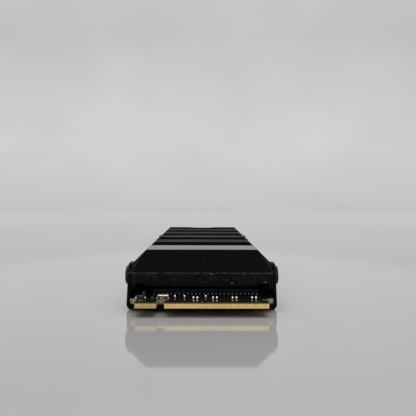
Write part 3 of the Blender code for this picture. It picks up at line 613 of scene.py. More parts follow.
def fired_ceramic(name, colour, speckle):
    """Fired ceramic: fine pores and lighter grains in a slightly uneven body, lighter on top as a painted
    highlight.
    """
    finish = Finish(name, colour, 0.5, Specular_IOR_Level=0.25)
    pore = finish.cells(9000.0)
    tint = finish.noise(3000.0, 3.0, 0.6)
    # Painted highlight: the body is lighter from about half a millimetre over the board upward.
    lit_top = finish.band(finish.axes()[2], BOARD_TOP + 0.00047, BOARD_TOP + 0.00051)
    base = finish.two_tone(finish.band(tint, 0.36, 0.66), colour, 0.8, 1.2)
    base = finish.mix(lit_top, base, opaque(colour, 3.5))
    pores = finish.band(pore, 0.05, 0.25, speckle, 0.0)
    finish.feed("Base Color", finish.mix(pores, base, opaque(colour, 1.9)))
    finish.roughen(tint, 0.42, 0.6)
    finish.bump(pore * 0.5 + tint * 0.5, 0.000006, 0.5)
    return finish.material


def filler_pad(name, colour):
    """Soft gap filler: ceramic grains in silicone, faintly dimpled."""
    finish = Finish(name, colour, 0.82, Specular_IOR_Level=0.25)
    dimple = finish.cells(1600.0, "SMOOTH_F1")
    grain = finish.noise(6200.0, 3.0, 0.6)
    tone = finish.band(grain * 0.7 + dimple * 0.3, 0.3, 0.7)
    finish.feed("Base Color", finish.two_tone(tone, colour, 0.8, 1.2))
    finish.roughen(grain, 0.74, 0.9)
    finish.bump(dimple * 0.6 + grain * 0.4, 0.00002, 0.6)
    return finish.material


def oxide_steel(name, colour):
    """Black oxide screw steel, with the oxide rubbed thin here and there."""
    finish = Finish(name, colour, 0.36, 0.2, Specular_IOR_Level=0.2)
    rub = finish.noise(2400.0, 3.0, 0.6)
    grain = finish.noise(9000.0)
    rubbed = finish.band(rub, 0.58, 0.74) * 0.6
    finish.feed("Base Color", finish.mix(rubbed, opaque(colour), opaque(RUBBED_OXIDE)))
    finish.roughen(grain, 0.3, 0.46)
    finish.bump(grain * 0.6 + rub * 0.4, 0.000005, 0.5)
    return finish.material


# Sizes and colours that a user would change

def length(label, about, default, high=0.01):
    return FloatProperty(
        name=label, description=about, default=default, min=0.0, max=high, unit="LENGTH", precision=6
    )


def colour(label, about, default):
    return FloatVectorProperty(
        name=label, description=about, default=default, min=0.0, max=1.0, subtype="COLOR"
    )


class GumstickSizes(PropertyGroup):
    """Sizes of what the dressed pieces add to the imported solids."""

    block_edge: length("Block Edge", "Width of the broken edges of the heatsink block", 0.00012)
    sheet_edge: length("Sheet Edge", "Width of the broken edges of the folded tray", 0.00008)
    plate_edge: length("Plate Edge", "Radius along the edges of the silver plate", 0.00006)
    nose_height: length("Nose Height", "Height of the block's upright front face above its base", 0.00171)
    nose_run: length("Nose Run", "How far back the block's sloped face leans", 0.0021)
    side_chamfer: length("Side Chamfer", "Width of the chamfer along the block's top", 0.00215)
    channel_depth: length("Channel Depth", "Depth of the channels across the block", 0.0008)
    land_length: length("Land Length", "Length of each raised land between the channels", 0.0067)
    land_pitch: length("Land Pitch", "Distance from one land to the next", 0.0132, 0.05)
    rail_drop: length("Rail Drop", "How far the side rails hang below the block's base", 0.00083)
    finger_pitch: length("Finger Pitch", "Distance from one contact finger to the next", 0.0005)
    finger_width: length("Finger Width", "Width of a contact finger", 0.00035)
    fillet_reach: length("Fillet Reach", "How far a solder fillet spreads from a chip's end", 0.00008)
    drive_depth: length("Drive Depth", "Depth of the cross recess in a screw head", 0.00028)


class GumstickColours(PropertyGroup):
    """Colours of the drive's finishes."""

    block: colour("Block", "Black anodising of the heatsink block", (0.0018, 0.0018, 0.0025))
    sheet: colour("Sheet", "Black coating of the folded tray", (0.0021, 0.0021, 0.0027))
    plate: colour("Plate", "Satin plate behind the nose", (0.265, 0.265, 0.267))
    laminate: colour("Laminate", "Sawn edge of the board", (0.545, 0.403, 0.127))
    mask: colour("Solder Mask", "Mask over the board's faces", (0.006, 0.006, 0.007))
    gold: colour("Gold", "Plating of the contacts", (0.94, 0.66, 0.29))
    package: colour("Package", "Moulding compound of the packages", (0.0026, 0.0026, 0.0033))
    solder: colour("Solder", "Solder and tinned ends", (0.86, 0.87, 0.88))
    capacitor: colour("Capacitor", "Ceramic of the chip capacitors", (0.016, 0.0145, 0.016))
    # The pads' default is darkened far below the filler's own grey: painted shade.
    pad: colour("Pad", "Soft filler of the thermal pads", (0.022, 0.022, 0.024))
    floor: colour("Floor", "Floor under the drive", (0.36, 0.357, 0.35))
    backdrop: colour("Backdrop", "Backdrop behind the drive", (0.53, 0.524, 0.527))


def sizes():
    return bpy.context.scene.gumstick_sizes


def colours():
    return bpy.context.scene.gumstick_colours


def finish_named(name, make, *values):
    """The material of that name, made on its first use."""
    return bpy.data.materials.get(name) or make(name, *values)


def block_base():
    """Height of the block's underside between its rails."""
    return BLOCK_LOW.z + sizes().rail_drop


def crease_height():
    """Height of the crease between the block's upright front face and its slope."""
    return block_base() + sizes().nose_height


def notch_columns():
    """Places across the board that follow the rear notch: its radius times the sine of even angles."""
    edge = math.asin(math.sqrt(NOTCH_RADIUS ** 2 - (REAR_Y - BLOCK_HIGH.y) ** 2) / NOTCH_RADIUS)
    return NOTCH_RADIUS * np.sin(np.linspace(-edge, edge, 23))


def rear_limit(x):
    """Rear end at each place across: the straight edge, or the circle of the screw's notch."""
    inside = np.sqrt(np.maximum(NOTCH_RADIUS ** 2 - x ** 2, 0.0))
    return np.minimum(REAR_Y - inside, BLOCK_HIGH.y)


class GUMSTICK_OT_make_tray(Operator):
    """Fold the black tray that wraps the board's underside and long edges"""

    bl_idname = "gumstick.make_tray"
    bl_label = "Make Tray"

    def stations(self):
        """Places along the drive, each with its wall's height: ears at both ends, lower between.

        A quarter circle at the foot of each ear's end brings the height down to the wall's.
        """
        front, rear, ear = TRAY_LOW.y, TRAY_HIGH.y, TRAY_HIGH.z
        wall = ear - EAR_RISE
        within = 0.0040
        ear_front, ear_rear = front + FRONT_BOW + EAR_LENGTH, rear - EAR_LENGTH
        dip = wall + EAR_CORNER
        foot = [(EAR_CORNER * (1 - math.cos(a)), dip - EAR_CORNER * math.sin(a)) for a in QUARTER]
        line = [(front, ear), (front + within, ear), (ear_front, ear)]
        line += [(ear_front + y, z) for y, z in foot]
        line += [(y, wall) for y in (-0.012, 0.006, 0.022)]
        line += [(ear_rear - y, z) for y, z in reversed(foot)]
        line += [(ear_rear, ear), (rear - within, ear), (rear, ear)]
        return np.array(line)

    def section(self, stations, offset):
        """Right half of the section, drawn in by the offset: x and z at every station.

        The floor is flat, the bend a quarter circle, and the wall leans in by an even share of its
        height. A wall's height is its station's height times the place's share of the wall.
        """
        foot, bend, rows = TRAY_HIGH.x, BEND_RADIUS, len(stations)
        notch = notch_columns()
        notch = notch[notch > 1e-6]
        across = np.concatenate([[0.0], notch, [0.0050, 0.0075, 0.0095, foot - bend]])
        floor_x = np.broadcast_to(across, (rows, len(across)))
        floor_z = np.full_like(floor_x, offset)
        turn = QUARTER[1:]
        arc_x = np.broadcast_to(foot - bend + (bend - offset) * np.sin(turn), (rows, len(turn)))
        arc_z = np.broadcast_to(bend - (bend - offset) * np.cos(turn), (rows, len(turn)))
        start = (TRAY_HIGH.z - EAR_CORNER - bend) / (TRAY_HIGH.z - bend)
        shares = np.concatenate([np.linspace(0.0, start, 4)[1:], 1 - (1 - start) * (1 - np.sin(turn))])
        wall_z = bend + shares * (stations[:, 1:] - bend)
        wall_x = foot - offset - WALL_LEAN * (wall_z - bend)
        x = np.concatenate([floor_x, arc_x, wall_x], axis=1)
        return x, np.concatenate([floor_z, arc_z, wall_z], axis=1)

    def front_edge(self, x, z):
        """Where the sheet starts at each place of the section.

        That is a shallow circle in plan on the floor, and a raked line on the walls, which a
        quarter circle rounds off at the ear's top.
        """
        foot, ear = TRAY_HIGH.x, TRAY_HIGH.z
        radius = (foot ** 2 + FRONT_BOW ** 2) / (2 * FRONT_BOW)
        plan = TRAY_LOW.y + radius - np.sqrt(radius ** 2 - np.minimum(x, foot) ** 2)
        low = BEND_RADIUS + SHEET
        side = TRAY_LOW.y + FRONT_BOW + FRONT_RAKE * (z - low) / (ear - low)
        over = np.clip(z - (ear - EAR_CORNER), 0.0, EAR_CORNER)
        side = side + EAR_CORNER - np.sqrt(EAR_CORNER ** 2 - over ** 2)
        return np.where(z > low, np.maximum(side, plan), plan)

    def face(self, stations, offset):
        """One face of the sheet: the section's right half and its mirror at every station."""
        x, z = self.section(stations, offset)
        y = np.broadcast_to(stations[:, :1], x.shape).copy()
        y[0] = self.front_edge(*self.section(stations, 0.0))[0]
        y[-1] = np.where(z[-1] <= SHEET, rear_limit(x[-1]), TRAY_HIGH.y)
        right = np.stack([x, y, z], axis=-1)
        left = right[:, :0:-1] * (-1, 1, 1)
        return np.concatenate([left, right], axis=1)

    def execute(self, context):
        """Two facing grids, places round the folded section against stations along the drive."""
        stations = self.stations()
        surface = Surface()
        closed_shell(surface, self.face(stations, 0.0), self.face(stations, SHEET))
        tint = colours().sheet
        coat = finish_named("black_sheet_coat", anodised_black, tint, 0.35, 0.46)
        # The tray's broken edges take a lighter copy of its coating: painted highlight.
        edge = finish_named("sheet_edge_rubbed", edge_painted_highlight, toned(tint, 1.2))
        tray = build_piece("folded_tray", surface, [coat, edge], ["base_tray"])
        break_edges(tray, sizes().sheet_edge, 1, 50.0)
        return {"FINISHED"}


class GUMSTICK_OT_make_heatsink(Operator):
    """Machine the black block with its nose, chamfers and channels, and let in the silver plate"""

    bl_idname = "gumstick.make_heatsink"
    bl_label = "Make Heatsink"

    def side_view(self, size):
        """The block's top from the side: nose, the plate's shelf, channels and lands to the rear."""
        front, top = BLOCK_LOW.y, BLOCK_HIGH.z
        gap, first_land = 0.00004, 0.0081
        shelf = PLATE_LOW.z - gap
        floor = top - size.channel_depth
        line = [(front, crease_height()), (front + size.nose_run, top)]
        line += [(PLATE_LOW.y - gap, top), (PLATE_LOW.y - gap, shelf)]
        line += [(PLATE_HIGH.y + gap, shelf), (PLATE_HIGH.y + gap, floor)]
        land = PLATE_HIGH.y + first_land
        while land < BLOCK_HIGH.y:
            end = min(land + size.land_length, BLOCK_HIGH.y)
            line += [(land, floor), (land, top), (end, top)]
            if end < BLOCK_HIGH.y:
                line.append((end, floor))
            land += size.land_pitch
        return np.array(line)

    def block(self, size):
        """Two facing grids: places across against stations along the side view.

        The top's height at a station is the side view's; the chamfer's inner edge moves in by as
        much as the station rises over the chamfer's foot. The underside is flat between two rails.
        """
        rail_width = 0.0007
        half, rail = BLOCK_HIGH.x, BLOCK_HIGH.x - rail_width
        low, base = BLOCK_LOW.z, block_base()
        chamfer_foot = BLOCK_HIGH.z - size.side_chamfer
        line = self.side_view(size)
        flat = np.array([0.0050, 0.0065, 0.0080])
        middle = np.concatenate([-flat[::-1], notch_columns(), flat])
        rows, count = len(line), len(middle)
        station_y, height = line[:, :1], line[:, 1:]
        inner = half - np.maximum(height - chamfer_foot, 0.0)
        shoulder = np.minimum(height, chamfer_foot)
        full = np.full((rows, 1), half)
        across = np.broadcast_to(middle, (rows, count))
        level = np.broadcast_to(height, (rows, count + 2))
        top_x = np.concatenate([-full, -full, -inner, across, inner, full, full], axis=1)
        top_z = np.concatenate([shoulder, shoulder, level, shoulder, shoulder], axis=1)
        limit = rear_limit(top_x)
        held = np.interp(limit, line[:, 0], line[:, 1])
        top_z = np.where((station_y > limit) & (np.abs(top_x) < NOTCH_RADIUS), held, top_z)
        top = np.stack([top_x, np.minimum(station_y, limit), top_z], axis=-1)

        under_x = np.concatenate([[-half, -rail, -rail], middle, [rail, rail, half]])
        under_x = np.broadcast_to(under_x, top_x.shape)
        under_z = np.concatenate([[low, low, base], np.full(count, base), [base, low, low]])
        under_z = np.broadcast_to(under_z, top_x.shape)
        under_y = np.minimum(station_y, rear_limit(under_x))
        surface = Surface()
        closed_shell(surface, top, np.stack([under_x, under_y, under_z], axis=-1), 1)
        return surface

    def plate(self, size):
        """A thin rounded slab whose sides lean in by as much as it rises."""
        centre, extent = box_of("accent_plate")
        points, blocks = rounded_slab(extent, 0.00015, size.plate_edge, edge_steps=3, corner_steps=4)
        points[..., 0] *= 1.0 - points[..., 2] / (extent[0] / 2)
        surface = Surface()
        surface.add(points + centre, blocks)
        return surface

    def execute(self, context):
        """The block's faces that look up are lands or channels, with a grainier copy of the coating whose
        lighter colour is painted light on the tops.
        """
        size, tint = sizes(), colours().block
        smooth = finish_named("black_anodised", anodised_black, tint, 0.30, 0.50)
        sawn = finish_named("black_anodised_grained", anodised_black, toned(tint, 1.25), 1.0, 0.56)
        # The block's broken edges take a lighter copy of its coating: painted highlight.
        edge = finish_named("anodised_edge_rubbed", edge_painted_highlight, toned(tint, 1.3))
        # A lighter copy of the coating for the faces that look up: painted light.
        upper = finish_named("black_anodised_lands", anodised_black, toned(tint, 1.3), 0.45, 0.5, 0.032)
        finishes = [smooth, sawn, edge, upper]
        block = build_piece("machined_block", self.block(size), finishes, ["heatsink"])
        faces = block.data.polygons
        normals = np.empty((len(faces), 3), np.float32)
        numbers = np.empty(len(faces), np.int32)
        faces.foreach_get("normal", normals.ravel())
        faces.foreach_get("material_index", numbers)
        numbers[normals[:, 2] > 0.95] = finishes.index(upper)
        faces.foreach_set("material_index", numbers)
        break_edges(block, size.block_edge, finishes.index(edge), 28.0)
        silver = finish_named("satin_silver", satin_silver, colours().plate)
        build_piece("silver_band", self.plate(size), [silver], ["accent_plate"])
        return {"FINISHED"}


class GUMSTICK_OT_make_screws(Operator):
    """Turn the four side screws with their domed heads and cross recesses"""

    bl_idname = "gumstick.make_screws"
    bl_label = "Make Screws"

    head = 0.00145

    def screw(self):
        """Polar grid: the dome's height is a quarter ellipse of the radius, less the cross recess.

        The recess is full depth where a point lies within half a slot's width of either arm's
        centre line and within the arm's length, with sloping sides. Rings down the head's side and
        the shank follow the dome's.
        """
        head, rim, height = self.head, 0.00026, 0.000544
        side_top, seat, shank, reach, tip, tip_length = 0.00012, 0.00002, 0.0007, 0.0022, 0.0005, 0.0002
        slot_half, arm_length, slope = 0.00016, 0.0007, 0.00005
        around = 64
        turn = np.arange(around) * 2 * np.pi / around
        radii = np.concatenate([np.linspace(0.0, 0.0010, 19), np.linspace(0.0011, head, 6)])[:, None]
        x, y = radii * np.cos(turn), radii * np.sin(turn)
        dome = rim + (height - rim) * np.sqrt(np.maximum(1.0 - (radii / head) ** 2, 0.0))

        def arm(along, across):
            inside = np.clip((slot_half - np.abs(across)) / slope + 0.5, 0.0, 1.0)
            return inside * np.clip((arm_length - np.abs(along)) / (2 * slope) + 0.5, 0.0, 1.0)

        z = dome - sizes().drive_depth * np.maximum(arm(x, y), arm(y, x))
        side = [(head, side_top), (head, seat), (shank, seat), (shank, tip_length - reach), (tip, -reach)]
        radius, level = np.array(side).T[..., None]
        side = np.stack(np.broadcast_arrays(radius * np.cos(turn), radius * np.sin(turn), level), axis=-1)
        points = np.concatenate([np.stack([x, y, z], axis=-1), side])
        return points, capped_rings(len(points), around)

    def execute(self, context):
        """Each screw stands square on the leaning wall, the left ones turned half round about Z."""
        points, blocks = self.screw()
        steel = finish_named("black_oxide_steel", oxide_steel, OXIDE)
        edge_gap = 0.0004
        centre_z = TRAY_HIGH.z - edge_gap - self.head
        seat_x = TRAY_HIGH.x - (centre_z - BEND_RADIUS) * WALL_LEAN
        tilt = math.pi / 2 - math.atan(WALL_LEAN)
        cos, sin = math.cos(tilt), math.sin(tilt)
        rotate = np.array([[cos, 0.0, sin], [0.0, 1.0, 0.0], [-sin, 0.0, cos]])
        seated = points @ rotate.T + (seat_x, 0.0, centre_z)
        for place in ("front_right", "front_left", "rear_right", "rear_left"):
            low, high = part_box("side_screw_" + place)
            hand = 1.0 if place.endswith("right") else -1.0
            surface = Surface()
            surface.add(seated * (hand, hand, 1.0) + (0.0, (low.y + high.y) / 2, 0.0), blocks)
            build_piece("turned_screw_" + place, surface, [steel], ["side_screw_" + place], 28.0)
        return {"FINISHED"}


class GUMSTICK_OT_make_board(Operator):
    """Rout the circuit board and plate its contact fingers and rear half ring"""

    bl_idname = "gumstick.make_board"
    bl_label = "Make Board"

    def outline(self):
        """Plan of the board: straight runs joined by the key's and the rear hole's half circles."""
        front, side, rear = FRONT_Y, BOARD_HIGH.x, REAR_Y
        step = front + TONGUE_LENGTH
        key = KEY_WIDTH / 2
        arc = np.linspace(np.pi, 0.0, 13)
        key_end = front + KEY_DEPTH - key
        key_arc = np.column_stack([KEY_X + key * np.cos(arc), key_end + key * np.sin(arc)])
        bore = np.linspace(0.0, -np.pi, 33)
        hole = np.column_stack([HOLE_RADIUS * np.cos(bore), rear + HOLE_RADIUS * np.sin(bore)])
        left = [(-TONGUE_HALF, front), (KEY_X - key, front)]
        right = [(KEY_X + key, front), (TONGUE_HALF, front), (TONGUE_HALF, step), (side, step), (side, rear)]
        end = [(-side, rear), (-side, step), (-TONGUE_HALF, step)]
        return np.concatenate([left, key_arc, right, hole, end])

    def laminate(self):
        """The outline stacked in four rings: the faces and a fine chamfer round each of them."""
        chamfer = 0.00003
        plan = self.outline()
        run = np.roll(plan, -1, axis=0) - np.roll(plan, 1, axis=0)
        inward = np.stack([-run[:, 1], run[:, 0]], axis=1)
        inward = inward / np.maximum(np.linalg.norm(inward, axis=1), 1e-9)[:, None]
        drawn = plan + inward * chamfer
        levels = (BOARD_BASE, BOARD_BASE + chamfer, BOARD_TOP - chamfer, BOARD_TOP)
        rings = zip((drawn, plan, plan, drawn), levels)
        stack = [np.column_stack([ring, np.full(len(plan), z)]) for ring, z in rings]
        surface = Surface()
        surface.add(np.concatenate(stack), capped_rings(len(levels), len(plan)), (1, 0, 0))
        return surface

    def finger_places(self):
        """Places across of the upper and lower fingers, leaving out those at the key."""
        margin, key_margin = 0.000675, 0.0004
        pitch = sizes().finger_pitch
        first = TONGUE_HALF - margin
        rows = []
        for start in (first, first - pitch / 2):
            x = start - np.arange(int(2 * first / pitch + 0.5) + 1) * pitch
            x = x[x > -first - pitch / 4]
            rows.append(x[np.abs(x - KEY_X) > KEY_WIDTH / 2 + key_margin])
        return rows

    def fingers(self):
        """Thin rounded slabs, sunk a little into the board; the lower ones are mirrored in it."""
        upper_length, lower_length, sunk = 0.0020, 0.0025, 0.00001
        surface = Surface()
        above, below = self.finger_places()
        rows = ((above, upper_length, BOARD_TOP - sunk, 1), (below, lower_length, BOARD_BASE + sunk, -1))
        for x, reach, base, sign in rows:
            size = (sizes().finger_width, reach, COPPER + sunk)
            points, blocks = rounded_slab(size, 0.00012, 0.000015, edge_steps=1)
            y = FRONT_Y + FINGER_SETBACK + reach / 2
            places = np.stack(np.broadcast_arrays(x, y, base), axis=-1)
            surface.add_copies(points * (1, 1, sign), [block[:, ::sign] for block in blocks], places)
        return surface

    def half_rings(self):
        """A flat profile with broken edges, turned half round about the rear hole on either face."""
        end, bared, edge, sunk = 0.04, 0.0001, 0.00002, 0.00001
        inner = HOLE_RADIUS + bared
        sweep = np.linspace(np.pi + end, 2 * np.pi - end, 33)
        profile = [(inner, -sunk), (inner, COPPER - sunk), (inner + edge, COPPER)]
        profile += [(RING_RADIUS - edge, COPPER), (RING_RADIUS, COPPER - sunk), (RING_RADIUS, -sunk)]
        radius, rise = np.array(profile).T
        x = radius * np.cos(sweep)[:, None]
        y = REAR_Y + radius * np.sin(sweep)[:, None]
        surface = Surface()
        for base, sign in ((BOARD_TOP, 1), (BOARD_BASE, -1)):
            z = np.broadcast_to(base + sign * rise, x.shape)
            surface.add(np.stack([x, y, z], axis=-1), capped_rings(*x.shape))
        return surface

    def execute(self, context):
        tint = colours()
        mask = finish_named("black_solder_mask", board_mask, tint.mask, BARE_LAMINATE_IN_SHADE)
        sawn = finish_named("laminate_rim", laminate_rim, tint.laminate, LAMINATE_IN_SHADE)
        gold = finish_named("contact_gold", plated_gold, toned(tint.gold, 0.75), 0.12)
        build_piece("board_laminate", self.laminate(), [mask, sawn], ["circuit_board"])
        build_piece("contact_fingers", self.fingers(), [gold], [])
        build_piece("rear_half_rings", self.half_rings(), [gold], [])
        return {"FINISHED"}


class GUMSTICK_OT_make_packages(Operator):
    """Mould the controller and memory packages on their solder balls"""

    bl_idname = "gumstick.make_packages"
    bl_label = "Make Packages"

    def ball(self, radius, height):
        """A barrel whose radius and height are cosine and sine of even angles, cut off at both ends."""
        cut = 1.15
        tilt = np.linspace(-cut, cut, 6)
        z = height / 2 + height / 2 * np.sin(tilt) / math.sin(cut)
        return turned(np.stack([radius * np.cos(tilt), z], axis=1), 10)

    def execute(self, context):
        """A slab with drafted sides, over the outermost ring of its balls."""
        black = finish_named("moulded_black", moulded_black, colours().package)
        # The balls take a darkened copy of the solder colour: painted shade under the packages.
        tin = finish_named("ball_solder", solder_tin, toned(colours().solder, 0.26))
        standoff, margin = 0.00030, 0.001
        listed = (
            ("controller", 0.00065, 0.00020),
            ("working_memory", 0.0008, 0.00021),
            ("flash_memory_1", 0.0010, 0.00021),
            ("flash_memory_2", 0.0010, 0.00021),
        )
        for node, pitch, radius in listed:
            centre, size = box_of(node)
            base = BOARD_TOP + standoff
            body = (size[0], size[1], centre[2] + size[2] - base)
            surface = Surface()
            points, blocks = rounded_slab(body, 0.0001, 0.00004, draft=0.00002)
            surface.add(points + (centre[0], centre[1], base), blocks, 0)
            columns, rows = (int((side - margin) / pitch + 0.5) for side in size[:2])
            column, row = np.meshgrid(np.arange(columns + 1), np.arange(rows + 1), indexing="ij")
            outer = (column % columns == 0) | (row % rows == 0)
            x = centre[0] + (column[outer] - columns / 2) * pitch
            y = centre[1] + (row[outer] - rows / 2) * pitch
            places = np.stack([x, y, np.full_like(x, BOARD_TOP)], axis=1)
            surface.add_copies(*self.ball(radius, standoff), places, 1)
            build_piece(node + "_package", surface, [black, tin], [node])
        return {"FINISHED"}


class GUMSTICK_OT_make_chip_parts(Operator):
    """Set the chip capacitors and resistors with their tinned ends and solder fillets"""

    bl_idname = "gumstick.make_chip_parts"
    bl_label = "Make Chip Parts"

    def chip(self, surface, node, climb, reach):
        """A ceramic slab between two pillowed ends, each on a wedge of solder that climbs it.

        It is made along Y, and a part that lies across is turned by a quarter about Z.
        """
        centre, size = box_of(node)
        along_x = size[0] > size[1]
        span, width = (size[0], size[1]) if along_x else (size[1], size[0])
        height = size[2]
        turn = np.array([[0.0, -1.0, 0.0], [1.0, 0.0, 0.0], [0.0, 0.0, 1.0]]) if along_x else np.eye(3)

        inset = 0.00003
        body = (width - inset, span - 2 * inset, height - inset)
        points, blocks = rounded_slab(body, 0.00002, 0.00002)
        surface.add(points @ turn.T + centre, blocks, 0)

        end = min(0.25 * span, 0.00035)
        cap, blocks = rounded_slab((width, height, end), 0.00011, 0.00006, edge_steps=4, corner_steps=4)
        for side in (-1.0, 1.0):
            outward = side * (span / 2 - cap[..., 2])
            upright = np.stack([cap[..., 0], outward, cap[..., 1] + height / 2], axis=-1)
            surface.add(upright @ turn.T + centre, blocks, 1)

        lift = centre[2] - BOARD_TOP
        wedge, blocks = solder_wedge(width * 0.95, height * climb + lift, reach)
        for side in (-1.0, 1.0):
            placed = wedge * (-side, -side, 1.0) + (0.0, side * span / 2, -lift)
            surface.add(placed @ turn.T + centre, blocks, 2)

    def beads(self, surface, node):
        """Round beads of solder at the two front corners of a part that lies across."""
        centre, size = box_of(node)
        width, height, sunk_in, rise = 0.00029, 0.00027, 0.00008, 0.00002
        bead, blocks = rounded_slab((width, width, height), 0.00014, 0.00013, edge_steps=5, corner_steps=4)
        x = centre[0] + np.array([-0.43, 0.45]) * size[0]
        front = centre[1] - size[1] / 2 + sunk_in
        places = np.stack(np.broadcast_arrays(x, front, BOARD_TOP + rise), axis=-1)
        surface.add_copies(bead, blocks, places, 2)

    def execute(self, context):
        """Each group's finishes are its body's, its ends' and its solder's, in that order."""
        tint = colours()
        bright = finish_named("chip_tin", solder_tin, tint.solder)
        # dull: a nearly black copy of the tin for the ends of parts that lie in shade: painted shade.
        dull = finish_named("chip_tin_dull", solder_tin, toned(tint.solder, 0.018))
        # joint: a darkened copy of the solder colour for the wedges: painted shade.
        joint = finish_named("chip_solder", solder_tin, toned(tint.solder, 0.05))
        grey = finish_named("capacitor_ceramic", fired_ceramic, tint.capacitor, 0.5)
        dark = finish_named("resistor_glaze", fired_ceramic, RESISTOR_GLAZE, 0.3)
        thin = (0.25, sizes().fillet_reach)
        full = (0.6, 2.4 * sizes().fillet_reach)
        groups = (
            ("lane_capacitors", (grey, bright, joint), thin, "coupling_capacitor", 8),
            ("front_capacitor", (grey, dull, bright), thin, "filter_capacitor", 0),
            ("inner_capacitor", (grey, dull, joint), full, "reserve_capacitor", 0),
            ("strap_resistors", (dark, dull, joint), thin, "strap_resistor", 2),
            ("sense_resistors", (dark, bright, joint), thin, "sense_resistor", 3),
            ("side_capacitors", (grey, dull, joint), full, "decoupling_capacitor", 4),
            ("rear_capacitors", (grey, dull, joint), full, "bulk_capacitor", 2),
        )
        for name, finishes, solder, part, count in groups:
            nodes = [f"{part}_{k}" for k in range(1, count + 1)] if count else [part]
            surface = Surface()
            for node in nodes:
                self.chip(surface, node, *solder)
            if name == "front_capacitor":
                self.beads(surface, part)
            build_piece(name, surface, finishes, nodes, 50.0)
        return {"FINISHED"}


class GUMSTICK_OT_make_crystal(Operator):
    """Seam the gold lid on the clock crystal and finish its ceramic base"""

    bl_idname = "gumstick.make_crystal"
    bl_label = "Make Crystal"

    def lid(self):
        """A stamped lid: a thin rounded flange with a smaller rounded crown on it."""
        centre, size = box_of("crystal_lid")
        corner, crown_inset, crown_share = 0.00012, 0.00014, 0.7
        surface = Surface()
        flange, blocks = rounded_slab((size[0], size[1], size[2] * 0.5), corner, 0.00002)
        surface.add(flange + centre, blocks)
        crown_size = (size[0] - crown_inset, size[1] - crown_inset, size[2] * crown_share)
        crown, blocks = rounded_slab(crown_size, corner, 0.00004, edge_steps=3)
        surface.add(crown + centre + (0.0, 0.0, size[2] * (1 - crown_share)), blocks)
        return surface

    def joints(self):
        """Small wedges of solder in front of the base."""
        centre, size = box_of("crystal_base")
        wedge, blocks = solder_wedge(0.00017, 0.00016, 0.00008)
        x = centre[0] + np.array([-0.0009, -0.00035, 0.0, 0.00085])
        places = np.stack(np.broadcast_arrays(x, centre[1] - size[1] / 2, BOARD_TOP), axis=-1)
        surface = Surface()
        surface.add_copies(wedge, blocks, places)
        return surface

    def execute(self, context):
        gold = finish_named("lid_gold", plated_gold, LID_GOLD, 0.5)
        tin = finish_named("crystal_solder", solder_tin, toned(colours().solder, 0.5))
        build_piece("crystal_lid_plated", self.lid(), [gold], ["crystal_lid"])
        build_piece("crystal_joints", self.joints(), [tin], [])
        dress_node("crystal_base", finish_named("crystal_ceramic", fired_ceramic, CRYSTAL_CERAMIC, 0.5))
        return {"FINISHED"}


class GUMSTICK_OT_dress_power_parts(Operator):
    """Finish the power converter and its pressed coils"""

    bl_idname = "gumstick.dress_power_parts"
    bl_label = "Dress Power Parts"

    def execute(self, context):
        dress_node("power_converter", finish_named("moulded_black", moulded_black, colours().package))
        for node in ("inductor_1", "inductor_2"):
            dress_node(node, finish_named("pressed_ferrite", fired_ceramic, FERRITE, 0.8))
        return {"FINISHED"}


class GUMSTICK_OT_make_pads(Operator):
    """Lay the soft filler pads between the packages, the board and the cooler"""

    bl_idname = "gumstick.make_pads"
    bl_label = "Make Pads"

    def execute(self, context):
        """A slab whose sides bulge: the edge radius is nearly half its thickness."""
        soft = finish_named("gap_filler", filler_pad, colours().pad)
        pads = (("upper_filler_pad", "top_thermal_pad"), ("lower_filler_pad", "bottom_thermal_pad"))
        for name, node in pads:
            centre, size = box_of(node)
            points, blocks = rounded_slab(size, 0.0006, size[2] * 0.48, edge_steps=5, corner_steps=5)
            surface = Surface()
            surface.add(points + centre, blocks)
            build_piece(name, surface, [soft], [node], 60.0)
        return {"FINISHED"}


